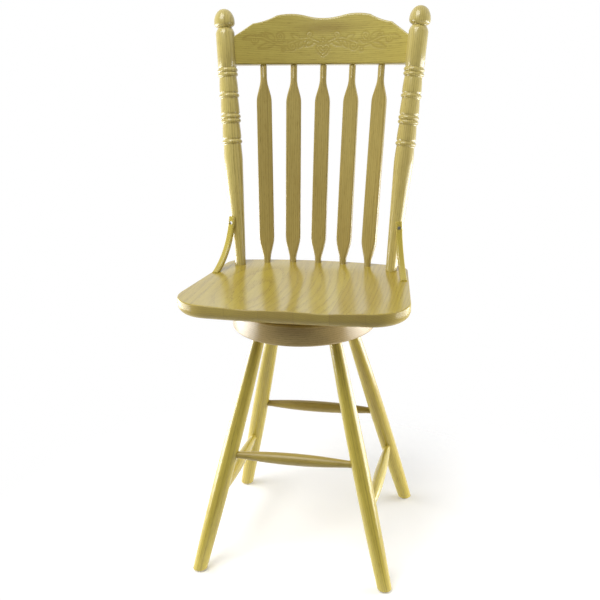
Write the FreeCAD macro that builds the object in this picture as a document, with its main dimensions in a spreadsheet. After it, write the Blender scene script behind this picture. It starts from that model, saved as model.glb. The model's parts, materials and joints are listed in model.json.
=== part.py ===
import FreeCAD, Part
import Sketcher
import math
import os
from FreeCAD import Placement, Rotation, Vector

# Swivel bar stool in oak: a turned and splayed base, a ball-bearing swivel, and a saddled seat
# with an arrow-slat back. Millimetres. The origin is on the floor under the swivel's axis,
# +Z is up, the sitter faces -Y, and left and right are as seen from the front.

doc = FreeCAD.newDocument("swivel_bar_stool")
sheet = doc.addObject("Spreadsheet::Sheet", "Sizes")

SIZES = (
    ("seat_height", 610, "floor to the flat rim of the seat"),
    ("seat_thickness", 32, "board of the seat"),
    ("seat_front_width", 501, "between the front corners before they are rounded"),
    ("seat_rear_width", 411, "between the rear corners before they are rounded"),
    ("seat_front_corner_y", 181, "front corners ahead of the swivel axis"),
    ("seat_front_bow", 13, "front edge ahead of its corners"),
    ("seat_rear_corner_y", 150, "rear corners behind the swivel axis"),
    ("seat_rear_bow", 22, "rear edge behind its corners"),
    ("seat_front_corner_radius", 75, "rounded front corners"),
    ("seat_rear_corner_radius", 40, "rounded rear corners"),
    ("seat_top_edge_radius", 2.5, "eased upper edge"),
    ("seat_bottom_edge_radius", 18, "bullnosed lower edge"),
    ("hollow_spacing", 150, "between the middles of the two thigh hollows"),
    ("hollow_width", 240, "one hollow across"),
    ("hollow_length", 340, "one hollow front to back"),
    ("hollow_depth", 7, "below the rim"),
    ("hollow_forward", 56, "hollows' middles ahead of the swivel axis"),
    ("glue_gap", 0.1, "room for glue round a tenon, pin or screw"),
    ("socket_end_gap", 1, "room past the end of a tenon, pin or screw"),
    ("plate_side", 170, "square swivel plates"),
    ("plate_corner_radius", 12, "rounded plate corners"),
    ("plate_thickness", 3, "steel of the plates"),
    ("plate_hole_spacing", 140, "screw holes of a plate, along its sides"),
    ("plate_hole_diameter", 5.6, "screw holes of a plate"),
    ("rivet_diameter", 30, "barrel of the hollow rivet"),
    ("rivet_bore", 22, "hole through the rivet"),
    ("rivet_flange_diameter", 42, "flanges of the rivet"),
    ("rivet_flange_thickness", 1.2, "flanges of the rivet"),
    ("rivet_running_gap", 0.08, "radial gap between the barrel and a plate's bore"),
    ("rivet_flange_sink", 0.3, "flange below the wood side of a plate"),
    ("rivet_axial_gap", 0.1, "between a flange and the bottom of its recess"),
    ("rivet_flange_gap", 0.5, "round a flange in its recess"),
    ("ball_diameter", 8, "steel balls"),
    ("ball_circle_diameter", 120, "ring of ball centres"),
    ("ball_count", 24, "balls in the ring"),
    ("ball_race_gap", 0.03, "between a ball and the bottom of a groove"),
    ("ball_groove_gap", 0.2, "round section of a groove, beyond a ball's radius"),
    ("ball_groove_depth", 0.53, "grooves in the plates"),
    ("cage_width", 14, "ring of the cage, inside to outside"),
    ("cage_thickness", 2, "ring of the cage"),
    ("cage_pocket_gap", 0.15, "round a ball in its pocket"),
    ("plate_screw_diameter", 4.8, "screws of the swivel plates"),
    ("plate_screw_length", 22, "under the head"),
    ("plate_screw_head_diameter", 9, "pan heads"),
    ("plate_screw_head_height", 2.4, "pan heads"),
    ("plate_screw_head_sag", 0.25, "dome of a pan head, half-way out"),
    ("block_diameter", 310, "round block that the legs stand in"),
    ("block_thickness", 45, "round block"),
    ("block_edge_radius", 4, "eased edges of the block"),
    ("access_hole_diameter", 12, "driver hole to the upper plate's screws"),
    ("access_hole_angle", 22.5, "driver hole, turned from +X about the axis"),
    ("leg_foot_x", 204, "leg axes at the floor, either side of the middle"),
    ("leg_foot_y", 194, "leg axes at the floor, before and behind the middle"),
    ("leg_top_x", 78.5, "leg axes at the block's underside, either side"),
    ("leg_top_y", 75, "leg axes at the block's underside, before and behind"),
    ("leg_foot_diameter", 30, "leg at the floor"),
    ("leg_swell_diameter", 36, "leg at its thick part"),
    ("leg_swell_height", 290, "thick part, measured up the leg"),
    ("leg_top_diameter", 25, "leg where it enters the block, and its tenon"),
    ("leg_tenon_length", 36, "tenon in the block"),
    ("glide_height", 4, "nylon glides"),
    ("glide_diameter", 22, "nylon glides"),
    ("glide_edge_radius", 1.2, "rounded lower edge of a glide"),
    ("glide_recess", 1.5, "depth of the nail head's recess"),
    ("nail_diameter", 2.6, "glide nails"),
    ("nail_length", 20, "floor to the nail's point"),
    ("nail_point", 4, "tapered point of a nail"),
    ("nail_head_diameter", 7, "glide nails"),
    ("nail_head_height", 1.2, "glide nails"),
    ("front_stretcher_height", 257, "axis of the front stretcher above the floor"),
    ("rear_stretcher_height", 257, "axis of the rear stretcher above the floor"),
    ("side_stretcher_height", 160, "axes of the side stretchers above the floor"),
    ("stretcher_end_diameter", 15, "straight ends and tenons"),
    ("stretcher_swell_diameter", 26, "middle of a stretcher"),
    ("stretcher_past_axis", 4, "end of a stretcher past the leg's axis"),
    ("stretcher_end_length", 30, "straight end, tenon included"),
    ("post_side_inset", 37.3, "post axes in from the seat's sides"),
    ("post_rear_inset", 35, "post axes ahead of the seat's rear corners"),
    ("post_spread", 43, "outward lean, from the seat to the neck under the finial"),
    ("post_lean", 100, "backward lean, from the seat to the neck"),
    ("post_rise", 517, "seat to the neck, straight up"),
    ("post_seat_diameter", 25, "post where it enters the seat, and its tenon"),
    ("post_diameter", 42, "upper part of a post"),
    ("post_straight_length", 12, "straight part above the seat"),
    ("post_taper_below_beads", 41, "top of the taper below the lowest ring of beads"),
    ("post_tenon_length", 24, "tenon in the seat"),
    ("post_shoulder_length", 13, "rounded shoulder under the neck"),
    ("bead_below_neck", 98.3, "highest ring of beads below the neck"),
    ("bead_pitch", 51, "from one ring of beads to the next"),
    ("bead_length", 9.5, "one bead, along the post"),
    ("bead_diameter", 45, "crest of a bead"),
    ("bead_groove_diameter", 39, "grooves beside the beads"),
    ("bead_hollow_diameter", 38, "narrow of the vase under a double bead"),
    ("neck_diameter", 29, "neck under the finial"),
    ("finial_diameter", 46, "belly of the acorn finial"),
    ("finial_belly_height", 12, "neck to the belly"),
    ("finial_height", 41, "neck to the top"),
    ("finial_cap_radius", 20, "rounded top of the finial"),
    ("back_curve_radius", 455, "sweep of the back, seen from above"),
    ("slat_count", 5, "arrow slats"),
    ("slat_seat_pitch", 58, "slat axes at the seat, side to side"),
    ("slat_crest_pitch", 67, "slat axes at the crest rail, side to side"),
    ("slat_rear_inset", 16, "middle slat ahead of the seat's rear edge"),
    ("slat_width", 34, "flat part of a slat"),
    ("slat_thickness", 12, "flat part of a slat"),
    ("slat_neck_diameter", 15, "round ends and tenons"),
    ("slat_lower_neck", 10, "round part above the seat"),
    ("slat_lower_flare", 40, "neck to full width at the lower end"),
    ("slat_upper_neck", 40, "round part below the crest rail"),
    ("slat_upper_flare", 36, "neck to full width at the upper end"),
    ("slat_shoulder_radius", 30, "rounded shoulders of the flat part"),
    ("slat_edge_radius", 3, "eased long edges"),
    ("slat_blend_length", 26, "taper of a round end into the flat part"),
    ("slat_seat_tenon", 20, "tenon in the seat"),
    ("slat_crest_tenon", 22, "tenon in the crest rail"),
    ("crest_below_neck", 84, "lower edge of the crest rail below the posts' necks"),
    ("crest_set_back", 1.4, "rail behind the curve through the posts"),
    ("crest_thickness", 24, "crest rail"),
    ("crest_hump_height", 110, "two humps of the top edge above the lower edge"),
    ("crest_hump_x", 72, "humps either side of the middle"),
    ("crest_hump_half_width", 34, "hump to where its curve turns"),
    ("crest_dip_depth", 9, "middle of the top edge below the humps"),
    ("crest_shoulder_x", 156, "shoulders of the top edge either side of the middle"),
    ("crest_shoulder_height", 86, "shoulders above the lower edge"),
    ("crest_shoulder_sag", 2.4, "hollow of the curve between hump and shoulder"),
    ("crest_end_height", 48.3, "ends of the rail above the middle of its lower edge"),
    ("crest_end_drop", 7, "lower corners of the rail below the middle of its lower edge"),
    ("crest_housing", 16, "end of the rail inside the post"),
    ("crest_edge_radius", 4, "eased edges of the rail"),
    ("crest_pin_diameter", 4, "pins that lock the rail in the posts"),
    ("crest_pin_length", 30, "pins that lock the rail in the posts"),
    ("crest_pin_height", 15, "pins above the rail's lower edge"),
    ("crest_pin_inset", 4, "pins from the rail's end"),
    ("brace_width", 14, "bent side braces"),
    ("brace_thickness", 10, "bent side braces"),
    ("brace_bend_radius", 160, "middle of the bend"),
    ("brace_start_angle", 30, "slope at the seat, degrees"),
    ("brace_end_angle", 80, "slope at the top, degrees"),
    ("brace_foot_inset", 11, "middle of the brace's foot in from the seat's side"),
    ("brace_face_angle", 18, "brace's place round the post from its front, degrees"),
    ("brace_toe", 6, "toe ahead of the bend's start"),
    ("brace_notch", 1.5, "hollow in the brace that takes the post"),
    ("brace_edge_radius", 3, "eased edges of a brace"),
    ("brace_screw_diameter", 4, "screws of the braces"),
    ("brace_screw_head_diameter", 8, "screws of the braces"),
    ("brace_screw_head_height", 3, "screws of the braces"),
    ("post_screw_length", 28, "under the head, brace to post"),
    ("post_screw_drop", 14, "top of the brace down to its screw"),
    ("post_screw_sink", 2, "head below the face of the brace"),
    ("seat_screw_bite", 6, "screw from the seat into the brace"),
    ("seat_screw_place", 7, "behind the bend's start"),
    ("seat_screw_sink", 5, "head above the underside of the seat"),
)
for row, (alias, amount, meaning) in enumerate(SIZES, start=1):
    sheet.set(f"A{row}", meaning)
    sheet.set(f"B{row}", str(amount))
    sheet.setAlias(f"B{row}", alias)
doc.recompute()

SIDES = (("left", -1), ("right", 1))
ENDS = (("front", -1), ("rear", 1))
UP = Vector(0, 0, 1)
SAME_PLACE = 1e-4


def size(alias):
    """The number in the sheet's cell."""
    return float(sheet.get(alias))


def number(expression):
    """The present number of an expression over the sheet."""
    return float(sheet.evalExpression(expression))


def origin_plane(body, role):
    """One of the body's own origin planes."""
    return next(feature for feature in body.Origin.OriginFeatures if feature.Role == role)


def new_sketch(body, name, role):
    """An empty sketch on one of the body's origin planes."""
    sketch = body.newObject("Sketcher::SketchObject", name)
    sketch.AttachmentSupport = [(origin_plane(body, role), "")]
    sketch.MapMode = "FlatFace"
    return sketch


def hold_point(sketch, geometry, end, place):
    """Ties a point of the sketch to a pair of expressions, or to an axis where one is 0."""
    for kind, axis, expression in zip(("DistanceX", "DistanceY"), (-2, -1), place):
        if expression == "0":
            sketch.addConstraint(Sketcher.Constraint("PointOnObject", geometry, end, axis))
        else:
            distance = number(expression)
            index = sketch.addConstraint(Sketcher.Constraint(kind, -1, 1, geometry, end, distance))
            sketch.setExpression(f"Constraints[{index}]", expression)


def outline(sketch, corners, bulges):
    """A closed outline through the corners; bulges[i] is a point on the arc after corner i."""
    points = [Vector(number(x), number(y), 0) for x, y in corners]
    starts = []
    for index, point in enumerate(points):
        following = points[(index + 1) % len(points)]
        if index in bulges:
            middle = Vector(number(bulges[index][0]), number(bulges[index][1]), 0)
            curve = Part.Arc(point, middle, following)
        else:
            curve = Part.LineSegment(point, following)
        geometry = sketch.addGeometry(curve, False)
        first = sketch.getPoint(geometry, 1)
        starts.append((geometry, 1 if first.distanceToPoint(point) < SAME_PLACE else 2))
        if index in bulges:
            mark = sketch.addGeometry(Part.Point(middle), True)
            sketch.addConstraint(Sketcher.Constraint("PointOnObject", mark, 1, geometry))
            hold_point(sketch, mark, 1, bulges[index])
    for index, (geometry, start) in enumerate(starts):
        before, before_start = starts[index - 1]
        sketch.addConstraint(Sketcher.Constraint("Coincident", before, 3 - before_start, geometry, start))
        hold_point(sketch, geometry, start, corners[index])


def turned(name, corners, bulges=None):
    """A body turned about its own Z from an outline of (radius, height) corners."""
    body = doc.addObject("PartDesign::Body", name)
    sketch = new_sketch(body, f"{name}_profile", "XZ_Plane")
    outline(sketch, corners, bulges or {})
    feature = body.newObject("PartDesign::Revolution", f"{name}_turning")
    feature.Profile = sketch
    feature.ReferenceAxis = (sketch, ["V_Axis"])
    feature.Angle = 360
    return body


def sawn(name, role, corners, bulges, thickness, side_type):
    """A body sawn to an outline from a board of the given thickness."""
    body = doc.addObject("PartDesign::Body", name)
    sketch = new_sketch(body, f"{name}_outline", role)
    outline(sketch, corners, bulges)
    pad = body.newObject("PartDesign::Pad", f"{name}_board")
    pad.Profile = sketch
    pad.SideType = side_type
    pad.setExpression("Length", thickness)
    doc.recompute()
    return body


def span(edge):
    """How far apart the ends of an edge are along X, Y and Z."""
    step = edge.Vertexes[-1].Point - edge.Vertexes[0].Point
    return Vector(abs(step.x), abs(step.y), abs(step.z))


def is_upright(edge):
    """An edge that runs straight up."""
    return span(edge).z > SAME_PLACE and max(span(edge).x, span(edge).y) < SAME_PLACE


def rounded(body, name, radius, chosen):
    """Rounds those edges of the body's last feature that the test picks."""
    base = body.Tip
    names = [f"Edge{i}" for i, edge in enumerate(base.Shape.Edges, start=1) if chosen(edge)]
    fillet = body.newObject("PartDesign::Fillet", name)
    fillet.Base = (base, names)
    fillet.setExpression("Radius", radius)
    doc.recompute()


def rod(name, radius, length, placement):
    """A plain round bar along its own Z, for drilling."""
    bar = doc.addObject("Part::Cylinder", name)
    bar.setExpression("Radius", radius)
    bar.setExpression("Height", length)
    bar.Placement = placement
    return bar


def along(start, end):
    """The placement of a piece whose own Z runs from start to end."""
    return Placement(start, Rotation(UP, end - start))


def cut(name, base, tools):
    """The base with all the tools cut out of it."""
    joined = tools[0]
    if len(tools) > 1:
        joined = doc.addObject("Part::MultiFuse", f"{name}_cutters")
        joined.Shapes = tools
    piece = doc.addObject("Part::Cut", name)
    piece.Base = base
    piece.Tool = joined
    return piece


def group(name, pattern, placements):
    """Separate copies of one pattern piece, as one part."""
    copies = []
    for index, placement in enumerate(placements, start=1):
        copy = doc.addObject("App::Link", f"{name}_{index}")
        copy.LinkedObject = pattern
        copy.LinkPlacement = placement
        copies.append(copy)
    together = doc.addObject("Part::Compound", name)
    together.Links = copies
    return together


pieces = []

# Heights of the stack: the seat lies on the swivel, the swivel on the block.
PLATE_AND_GAP = "(Sizes.plate_thickness - Sizes.ball_groove_depth + Sizes.ball_race_gap)"
SWIVEL_HEIGHT = f"(Sizes.ball_diameter + 2 * {PLATE_AND_GAP})"
BLOCK_TOP = f"(Sizes.seat_height - Sizes.seat_thickness - {SWIVEL_HEIGHT})"
BLOCK_BOTTOM = f"({BLOCK_TOP} - Sizes.block_thickness)"
seat_top = size("seat_height")
seat_bottom = seat_top - size("seat_thickness")
block_top = number(BLOCK_TOP)
block_bottom = number(BLOCK_BOTTOM)


# Legs: long double-tapered turnings, splayed both ways, with their feet sawn level.
def leg_axis(side, end, height):
    """The point of a leg's axis at a height above the floor."""
    share = height / block_bottom
    spread_x = size("leg_foot_x") + (size("leg_top_x") - size("leg_foot_x")) * share
    spread_y = size("leg_foot_y") + (size("leg_top_y") - size("leg_foot_y")) * share
    return Vector(side * spread_x, end * spread_y, height)


LEG_RUN_X = "(Sizes.leg_foot_x - Sizes.leg_top_x)"
LEG_RUN_Y = "(Sizes.leg_foot_y - Sizes.leg_top_y)"
LEG_LENGTH = f"sqrt({LEG_RUN_X}^2 + {LEG_RUN_Y}^2 + {BLOCK_BOTTOM}^2)"
LEG_END = f"{LEG_LENGTH} + Sizes.leg_tenon_length"
leg_corners = (
    ("0", "-Sizes.leg_foot_diameter / 2"),
    ("Sizes.leg_foot_diameter / 2", "-Sizes.leg_foot_diameter / 2"),
    ("Sizes.leg_foot_diameter / 2", "0"),
    ("Sizes.leg_top_diameter / 2", LEG_LENGTH),
    ("Sizes.leg_top_diameter / 2", LEG_END),
    ("0", LEG_END),
)
leg_bulges = {2: ("Sizes.leg_swell_diameter / 2", "Sizes.leg_swell_height")}

# Stretchers: swelled rungs with straight ends glued into the legs.
stretchers = {}
for end_name, end in ENDS:
    height = size(f"{end_name}_stretcher_height")
    reach = f"(Sizes.leg_foot_x - {LEG_RUN_X} * Sizes.{end_name}_stretcher_height / {BLOCK_BOTTOM})"
    line = (leg_axis(-1, end, height), leg_axis(1, end, height))
    stretchers[f"{end_name}_stretcher"] = (line, reach, (("left", end_name), ("right", end_name)))
for side_name, side in SIDES:
    height = size("side_stretcher_height")
    reach = f"(Sizes.leg_foot_y - {LEG_RUN_Y} * Sizes.side_stretcher_height / {BLOCK_BOTTOM})"
    line = (leg_axis(side, -1, height), leg_axis(side, 1, height))
    stretchers[f"{side_name}_stretcher"] = (line, reach, ((side_name, "front"), (side_name, "rear")))

leg_cutters = {}
for name, (line, reach, legs) in stretchers.items():
    half = f"({reach} + Sizes.stretcher_past_axis)"
    swell_start = f"{half} - Sizes.stretcher_end_length"
    stretcher = turned(
        name,
        (
            ("0", f"-{half}"),
            ("Sizes.stretcher_end_diameter / 2", f"-{half}"),
            ("Sizes.stretcher_end_diameter / 2", f"-({swell_start})"),
            ("Sizes.stretcher_end_diameter / 2", swell_start),
            ("Sizes.stretcher_end_diameter / 2", half),
            ("0", half),
        ),
        {2: ("Sizes.stretcher_swell_diameter / 2", "0")},
    )
    middle = (line[0] + line[1]) / 2
    stretcher.Placement = along(middle, line[1])
    pieces.append(stretcher)
    drill_half = f"({half} + Sizes.socket_end_gap)"
    lead = (line[1] - line[0]).normalize() * number(drill_half)
    drill = rod(
        f"{name}_drill",
        "Sizes.stretcher_end_diameter / 2 + Sizes.glue_gap",
        f"2 * {drill_half}",
        along(middle - lead, middle + lead),
    )
    for leg in legs:
        leg_cutters.setdefault(leg, []).append(drill)

# Glides: nylon buttons nailed under the sawn feet. Their nails run straight up into the legs.
glide_corners = (
    ("Sizes.nail_head_diameter / 2 + Sizes.glue_gap", "0"),
    ("Sizes.glide_diameter / 2 - Sizes.glide_edge_radius", "0"),
    ("Sizes.glide_diameter / 2", "Sizes.glide_edge_radius"),
    ("Sizes.glide_diameter / 2", "Sizes.glide_height"),
    ("Sizes.nail_diameter / 2 + Sizes.glue_gap", "Sizes.glide_height"),
    ("Sizes.nail_diameter / 2 + Sizes.glue_gap", "Sizes.glide_recess"),
    ("Sizes.nail_head_diameter / 2 + Sizes.glue_gap", "Sizes.glide_recess"),
)
EDGE_SAG = "Sizes.glide_edge_radius * (1 - sqrt(0.5))"
glide_bulges = {1: (f"Sizes.glide_diameter / 2 - {EDGE_SAG}", EDGE_SAG)}
glide_nail = turned(
    "glide_nail",
    (
        ("0", "Sizes.glide_recess - Sizes.nail_head_height"),
        ("Sizes.nail_head_diameter / 2", "Sizes.glide_recess - Sizes.nail_head_height"),
        ("Sizes.nail_head_diameter / 2", "Sizes.glide_recess"),
        ("Sizes.nail_diameter / 2", "Sizes.glide_recess"),
        ("Sizes.nail_diameter / 2", "Sizes.nail_length - Sizes.nail_point"),
        ("0", "Sizes.nail_length"),
    ),
)
SAWN_WASTE = "3 * Sizes.leg_foot_diameter"
sawn_waste = number(SAWN_WASTE)

leg_drills = []
nail_places = []
for end_name, end in ENDS:
    for side_name, side in SIDES:
        name = f"{end_name}_{side_name}_leg"
        blank = turned(f"{name}_turned", leg_corners, leg_bulges)
        foot = leg_axis(side, end, 0)
        shoulder = leg_axis(side, end, block_bottom)
        blank.Placement = along(foot, shoulder)
        level = leg_axis(side, end, size("glide_height"))
        waste = doc.addObject("Part::Box", f"{name}_waste")
        for edge in ("Length", "Width", "Height"):
            waste.setExpression(edge, SAWN_WASTE)
        waste.Placement.Base = level - Vector(sawn_waste / 2, sawn_waste / 2, sawn_waste)
        nail_place = Placement(Vector(level.x, level.y, 0), Rotation())
        nail_places.append(nail_place)
        nail_hole = rod(
            f"{name}_nail_hole",
            "Sizes.nail_diameter / 2 + Sizes.glue_gap",
            "Sizes.nail_length + Sizes.socket_end_gap",
            nail_place,
        )
        pieces.append(cut(name, blank, [waste, nail_hole] + leg_cutters[(side_name, end_name)]))
        glide = turned(f"{end_name}_{side_name}_glide", glide_corners, glide_bulges)
        glide.Placement = nail_place
        pieces.append(glide)
        leg_drills.append(
            rod(
                f"{name}_drill",
                "Sizes.leg_top_diameter / 2 + Sizes.glue_gap",
                f"{LEG_END} + Sizes.socket_end_gap",
                blank.Placement,
            )
        )
pieces.append(group("glide_nails", glide_nail, nail_places))

# Swivel plates: two square steel plates with a ball groove each. The lower one is turned half a
# corner, so that its screws miss the legs and a driver reaches the upper one's screws.
SCREW_HALF = "Sizes.plate_screw_diameter / 2"
HEAD_HALF = "Sizes.plate_screw_head_diameter / 2"
plate_screw = turned(
    "plate_screw",
    (
        ("0", "Sizes.plate_screw_head_height"),
        (HEAD_HALF, "Sizes.plate_screw_head_height / 2"),
        (HEAD_HALF, "0"),
        (SCREW_HALF, "0"),
        (SCREW_HALF, "Sizes.plate_screw_diameter - Sizes.plate_screw_length"),
        ("0", "-Sizes.plate_screw_length"),
    ),
    {0: (f"{HEAD_HALF} / 2", "Sizes.plate_screw_head_height - Sizes.plate_screw_head_sag")},
)
FLANGE_OUTER = "Sizes.rivet_flange_sink"
FLANGE_INNER = f"({FLANGE_OUTER} + Sizes.rivet_flange_thickness)"
RIVET_RECESS = f"({FLANGE_INNER} + Sizes.rivet_axial_gap)"
half_turn_over = Rotation(Vector(1, 0, 0), 180)


def plate_corners(turn):
    """The four screw places of a plate, seen from above, turned about the axis."""
    half = size("plate_hole_spacing") / 2
    spots = (Vector(half * x, half * y, 0) for x in (-1, 1) for y in (-1, 1))
    return [Rotation(UP, turn).multVec(spot) for spot in spots]


def swivel_plate(name, placement):
    """One plate, modelled with its wood side at Z 0 and its ball groove on top."""
    half = "Sizes.plate_side / 2"
    square = ((f"-{half}", f"-{half}"), (half, f"-{half}"), (half, half), (f"-{half}", half))
    blank = sawn(f"{name}_blank", "XY_Plane", square, {}, "Sizes.plate_thickness", "One side")
    rounded(blank, f"{name}_corners", "Sizes.plate_corner_radius", is_upright)
    groove = doc.addObject("Part::Torus", f"{name}_groove")
    groove.setExpression("Radius1", "Sizes.ball_circle_diameter / 2")
    groove.setExpression("Radius2", "Sizes.ball_diameter / 2 + Sizes.ball_groove_gap")
    lift = "Sizes.ball_groove_gap - Sizes.ball_race_gap"
    groove.setExpression("Placement.Base.z", f"{SWIVEL_HEIGHT} / 2 + {lift}")
    bore = rod(
        f"{name}_bore",
        "Sizes.rivet_diameter / 2 + Sizes.rivet_running_gap",
        "Sizes.plate_thickness",
        Placement(),
    )
    recess = rod(
        f"{name}_recess",
        "Sizes.rivet_flange_diameter / 2 + Sizes.rivet_flange_gap",
        RIVET_RECESS,
        Placement(),
    )
    holes = [
        rod(
            f"{name}_hole_{index}",
            "Sizes.plate_hole_diameter / 2",
            "Sizes.plate_thickness",
            Placement(spot, Rotation()),
        )
        for index, spot in enumerate(plate_corners(0), start=1)
    ]
    plate = cut(name, blank, [groove, bore, recess] + holes)
    plate.Placement = placement
    return plate


LOWER_TURN = 45
pieces.append(swivel_plate("lower_swivel_plate", Placement(UP * block_top, Rotation(UP, LOWER_TURN))))
pieces.append(swivel_plate("upper_swivel_plate", Placement(UP * seat_bottom, half_turn_over)))
lower_heads = UP * (block_top + size("plate_thickness"))
upper_heads = UP * (seat_bottom - size("plate_thickness"))
lower_screws = [Placement(lower_heads + spot, Rotation()) for spot in plate_corners(LOWER_TURN)]
upper_screws = [Placement(upper_heads + spot, half_turn_over) for spot in plate_corners(0)]
pieces.append(group("lower_plate_screws", plate_screw, lower_screws))
pieces.append(group("upper_plate_screws", plate_screw, upper_screws))


def screw_holes(name, placements):
    """Pilot holes for the plate screws, in the wood behind a plate."""
    return [
        rod(
            f"{name}_{index}",
            f"{SCREW_HALF} + Sizes.glue_gap",
            "Sizes.plate_screw_length + Sizes.socket_end_gap",
            placement * Placement(Vector(), half_turn_over),
        )
        for index, placement in enumerate(placements, start=1)
    ]


# Rivet: a hollow steel rivet whose flanges hold the plates together and that the seat turns on.
rivet = turned(
    "swivel_rivet",
    (
        ("Sizes.rivet_bore / 2", FLANGE_OUTER),
        ("Sizes.rivet_flange_diameter / 2", FLANGE_OUTER),
        ("Sizes.rivet_flange_diameter / 2", FLANGE_INNER),
        ("Sizes.rivet_diameter / 2", FLANGE_INNER),
        ("Sizes.rivet_diameter / 2", f"{SWIVEL_HEIGHT} - {FLANGE_INNER}"),
        ("Sizes.rivet_flange_diameter / 2", f"{SWIVEL_HEIGHT} - {FLANGE_INNER}"),
        ("Sizes.rivet_flange_diameter / 2", f"{SWIVEL_HEIGHT} - {FLANGE_OUTER}"),
        ("Sizes.rivet_bore / 2", f"{SWIVEL_HEIGHT} - {FLANGE_OUTER}"),
    ),
)
rivet.Placement.Base = UP * block_top
pieces.append(rivet)

# Ball bearing: steel balls spaced by a pressed ring, rolling in the plates' grooves.
ball_height = UP * (block_top + number(SWIVEL_HEIGHT) / 2)
ball_turn = 360 / size("ball_count")
ball_places = []
for index in range(int(size("ball_count"))):
    spin = Rotation(UP, index * ball_turn)
    ball_places.append(
        Placement(ball_height + spin.multVec(Vector(size("ball_circle_diameter") / 2, 0, 0)), spin)
    )
ball = doc.addObject("Part::Sphere", "ball")
ball.setExpression("Radius", "Sizes.ball_diameter / 2")
pieces.append(group("bearing_balls", ball, ball_places))


def circle(sketch, x, radius):
    """A circle on the sketch's X axis."""
    geometry = sketch.addGeometry(Part.Circle(Vector(number(x), 0, 0), UP, number(radius)), False)
    hold_point(sketch, geometry, 3, (x, "0"))
    index = sketch.addConstraint(Sketcher.Constraint("Radius", geometry, number(radius)))
    sketch.setExpression(f"Constraints[{index}]", radius)


cage = doc.addObject("PartDesign::Body", "ball_cage")
cage_ring = new_sketch(cage, "cage_ring", "XY_Plane")
circle(cage_ring, "0", "(Sizes.ball_circle_diameter - Sizes.cage_width) / 2")
circle(cage_ring, "0", "(Sizes.ball_circle_diameter + Sizes.cage_width) / 2")
cage_pad = cage.newObject("PartDesign::Pad", "cage_pad")
cage_pad.Profile = cage_ring
cage_pad.SideType = "Symmetric"
cage_pad.setExpression("Length", "Sizes.cage_thickness")
pocket_circle = new_sketch(cage, "pocket_circle", "XY_Plane")
circle(pocket_circle, "Sizes.ball_circle_diameter / 2", "Sizes.ball_diameter / 2 + Sizes.cage_pocket_gap")
pocket = cage.newObject("PartDesign::Pocket", "ball_pocket")
pocket.Profile = pocket_circle
pocket.SideType = "Symmetric"
pocket.setExpression("Length", "2 * Sizes.cage_thickness")
doc.recompute()
pockets = cage.newObject("PartDesign::PolarPattern", "ball_pockets")
pockets.Originals = [pocket]
pockets.Axis = (cage_ring, ["N_Axis"])
pockets.Angle = 360
pockets.setExpression("Occurrences", "Sizes.ball_count")
cage.Tip = pockets
cage.Placement.Base = ball_height
pieces.append(cage)

# Leg block: a thick disc of glued-up oak, drilled at the legs' angles from below.
BLOCK_HALF = "Sizes.block_diameter / 2"
CORNER_SAG = "Sizes.block_edge_radius * (1 - sqrt(0.5))"
disc = turned(
    "leg_block_disc",
    (
        ("0", "0"),
        (f"{BLOCK_HALF} - Sizes.block_edge_radius", "0"),
        (BLOCK_HALF, "Sizes.block_edge_radius"),
        (BLOCK_HALF, "Sizes.block_thickness - Sizes.block_edge_radius"),
        (f"{BLOCK_HALF} - Sizes.block_edge_radius", "Sizes.block_thickness"),
        ("0", "Sizes.block_thickness"),
    ),
    {
        1: (f"{BLOCK_HALF} - {CORNER_SAG}", CORNER_SAG),
        3: (f"{BLOCK_HALF} - {CORNER_SAG}", f"Sizes.block_thickness - {CORNER_SAG}"),
    },
)
disc.Placement.Base = UP * block_bottom
access_spin = Rotation(UP, size("access_hole_angle"))
access_spot = access_spin.multVec(Vector(size("plate_hole_spacing") / math.sqrt(2), 0, block_bottom))
access_hole = rod(
    "access_hole",
    "Sizes.access_hole_diameter / 2",
    "Sizes.block_thickness",
    Placement(access_spot, Rotation()),
)
block_cutters = leg_drills + [access_hole] + screw_holes("lower_pilot", lower_screws)
pieces.append(cut("leg_block", disc, block_cutters))


# Back: two turned posts, five slats and the crest rail, all swept to one curve and leaning back.
SEAT_RUN = "(Sizes.seat_front_corner_y + Sizes.seat_rear_corner_y)"
SEAT_TAPER = f"((Sizes.seat_front_width - Sizes.seat_rear_width) / 2 / {SEAT_RUN})"
POST_EDGE = f"(Sizes.seat_rear_width / 2 + {SEAT_TAPER} * Sizes.post_rear_inset)"
POST_SEAT_X = f"({POST_EDGE} - Sizes.post_side_inset)"
POST_SEAT_Y = "(Sizes.seat_rear_corner_y - Sizes.post_rear_inset)"
SLAT_SEAT_Y = "(Sizes.seat_rear_corner_y + Sizes.seat_rear_bow - Sizes.slat_rear_inset)"
CREST_RISE = "(Sizes.post_rise - Sizes.crest_below_neck)"
CREST_SHARE = f"({CREST_RISE} / Sizes.post_rise)"


def drop_at(x):
    """How far the back's curve has come forward at a distance from the middle, as an expression."""
    return f"(Sizes.back_curve_radius - sqrt(Sizes.back_curve_radius^2 - ({x})^2))"


def sweep_drop(x):
    """The same drop in millimetres."""
    return number(drop_at(x))


def post_axis(side, height):
    """The point of a post's axis at a height above the floor."""
    share = (height - seat_top) / size("post_rise")
    x = number(POST_SEAT_X) + size("post_spread") * share
    y = number(POST_SEAT_Y) + size("post_lean") * share
    return Vector(side * x, y, height)


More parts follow.
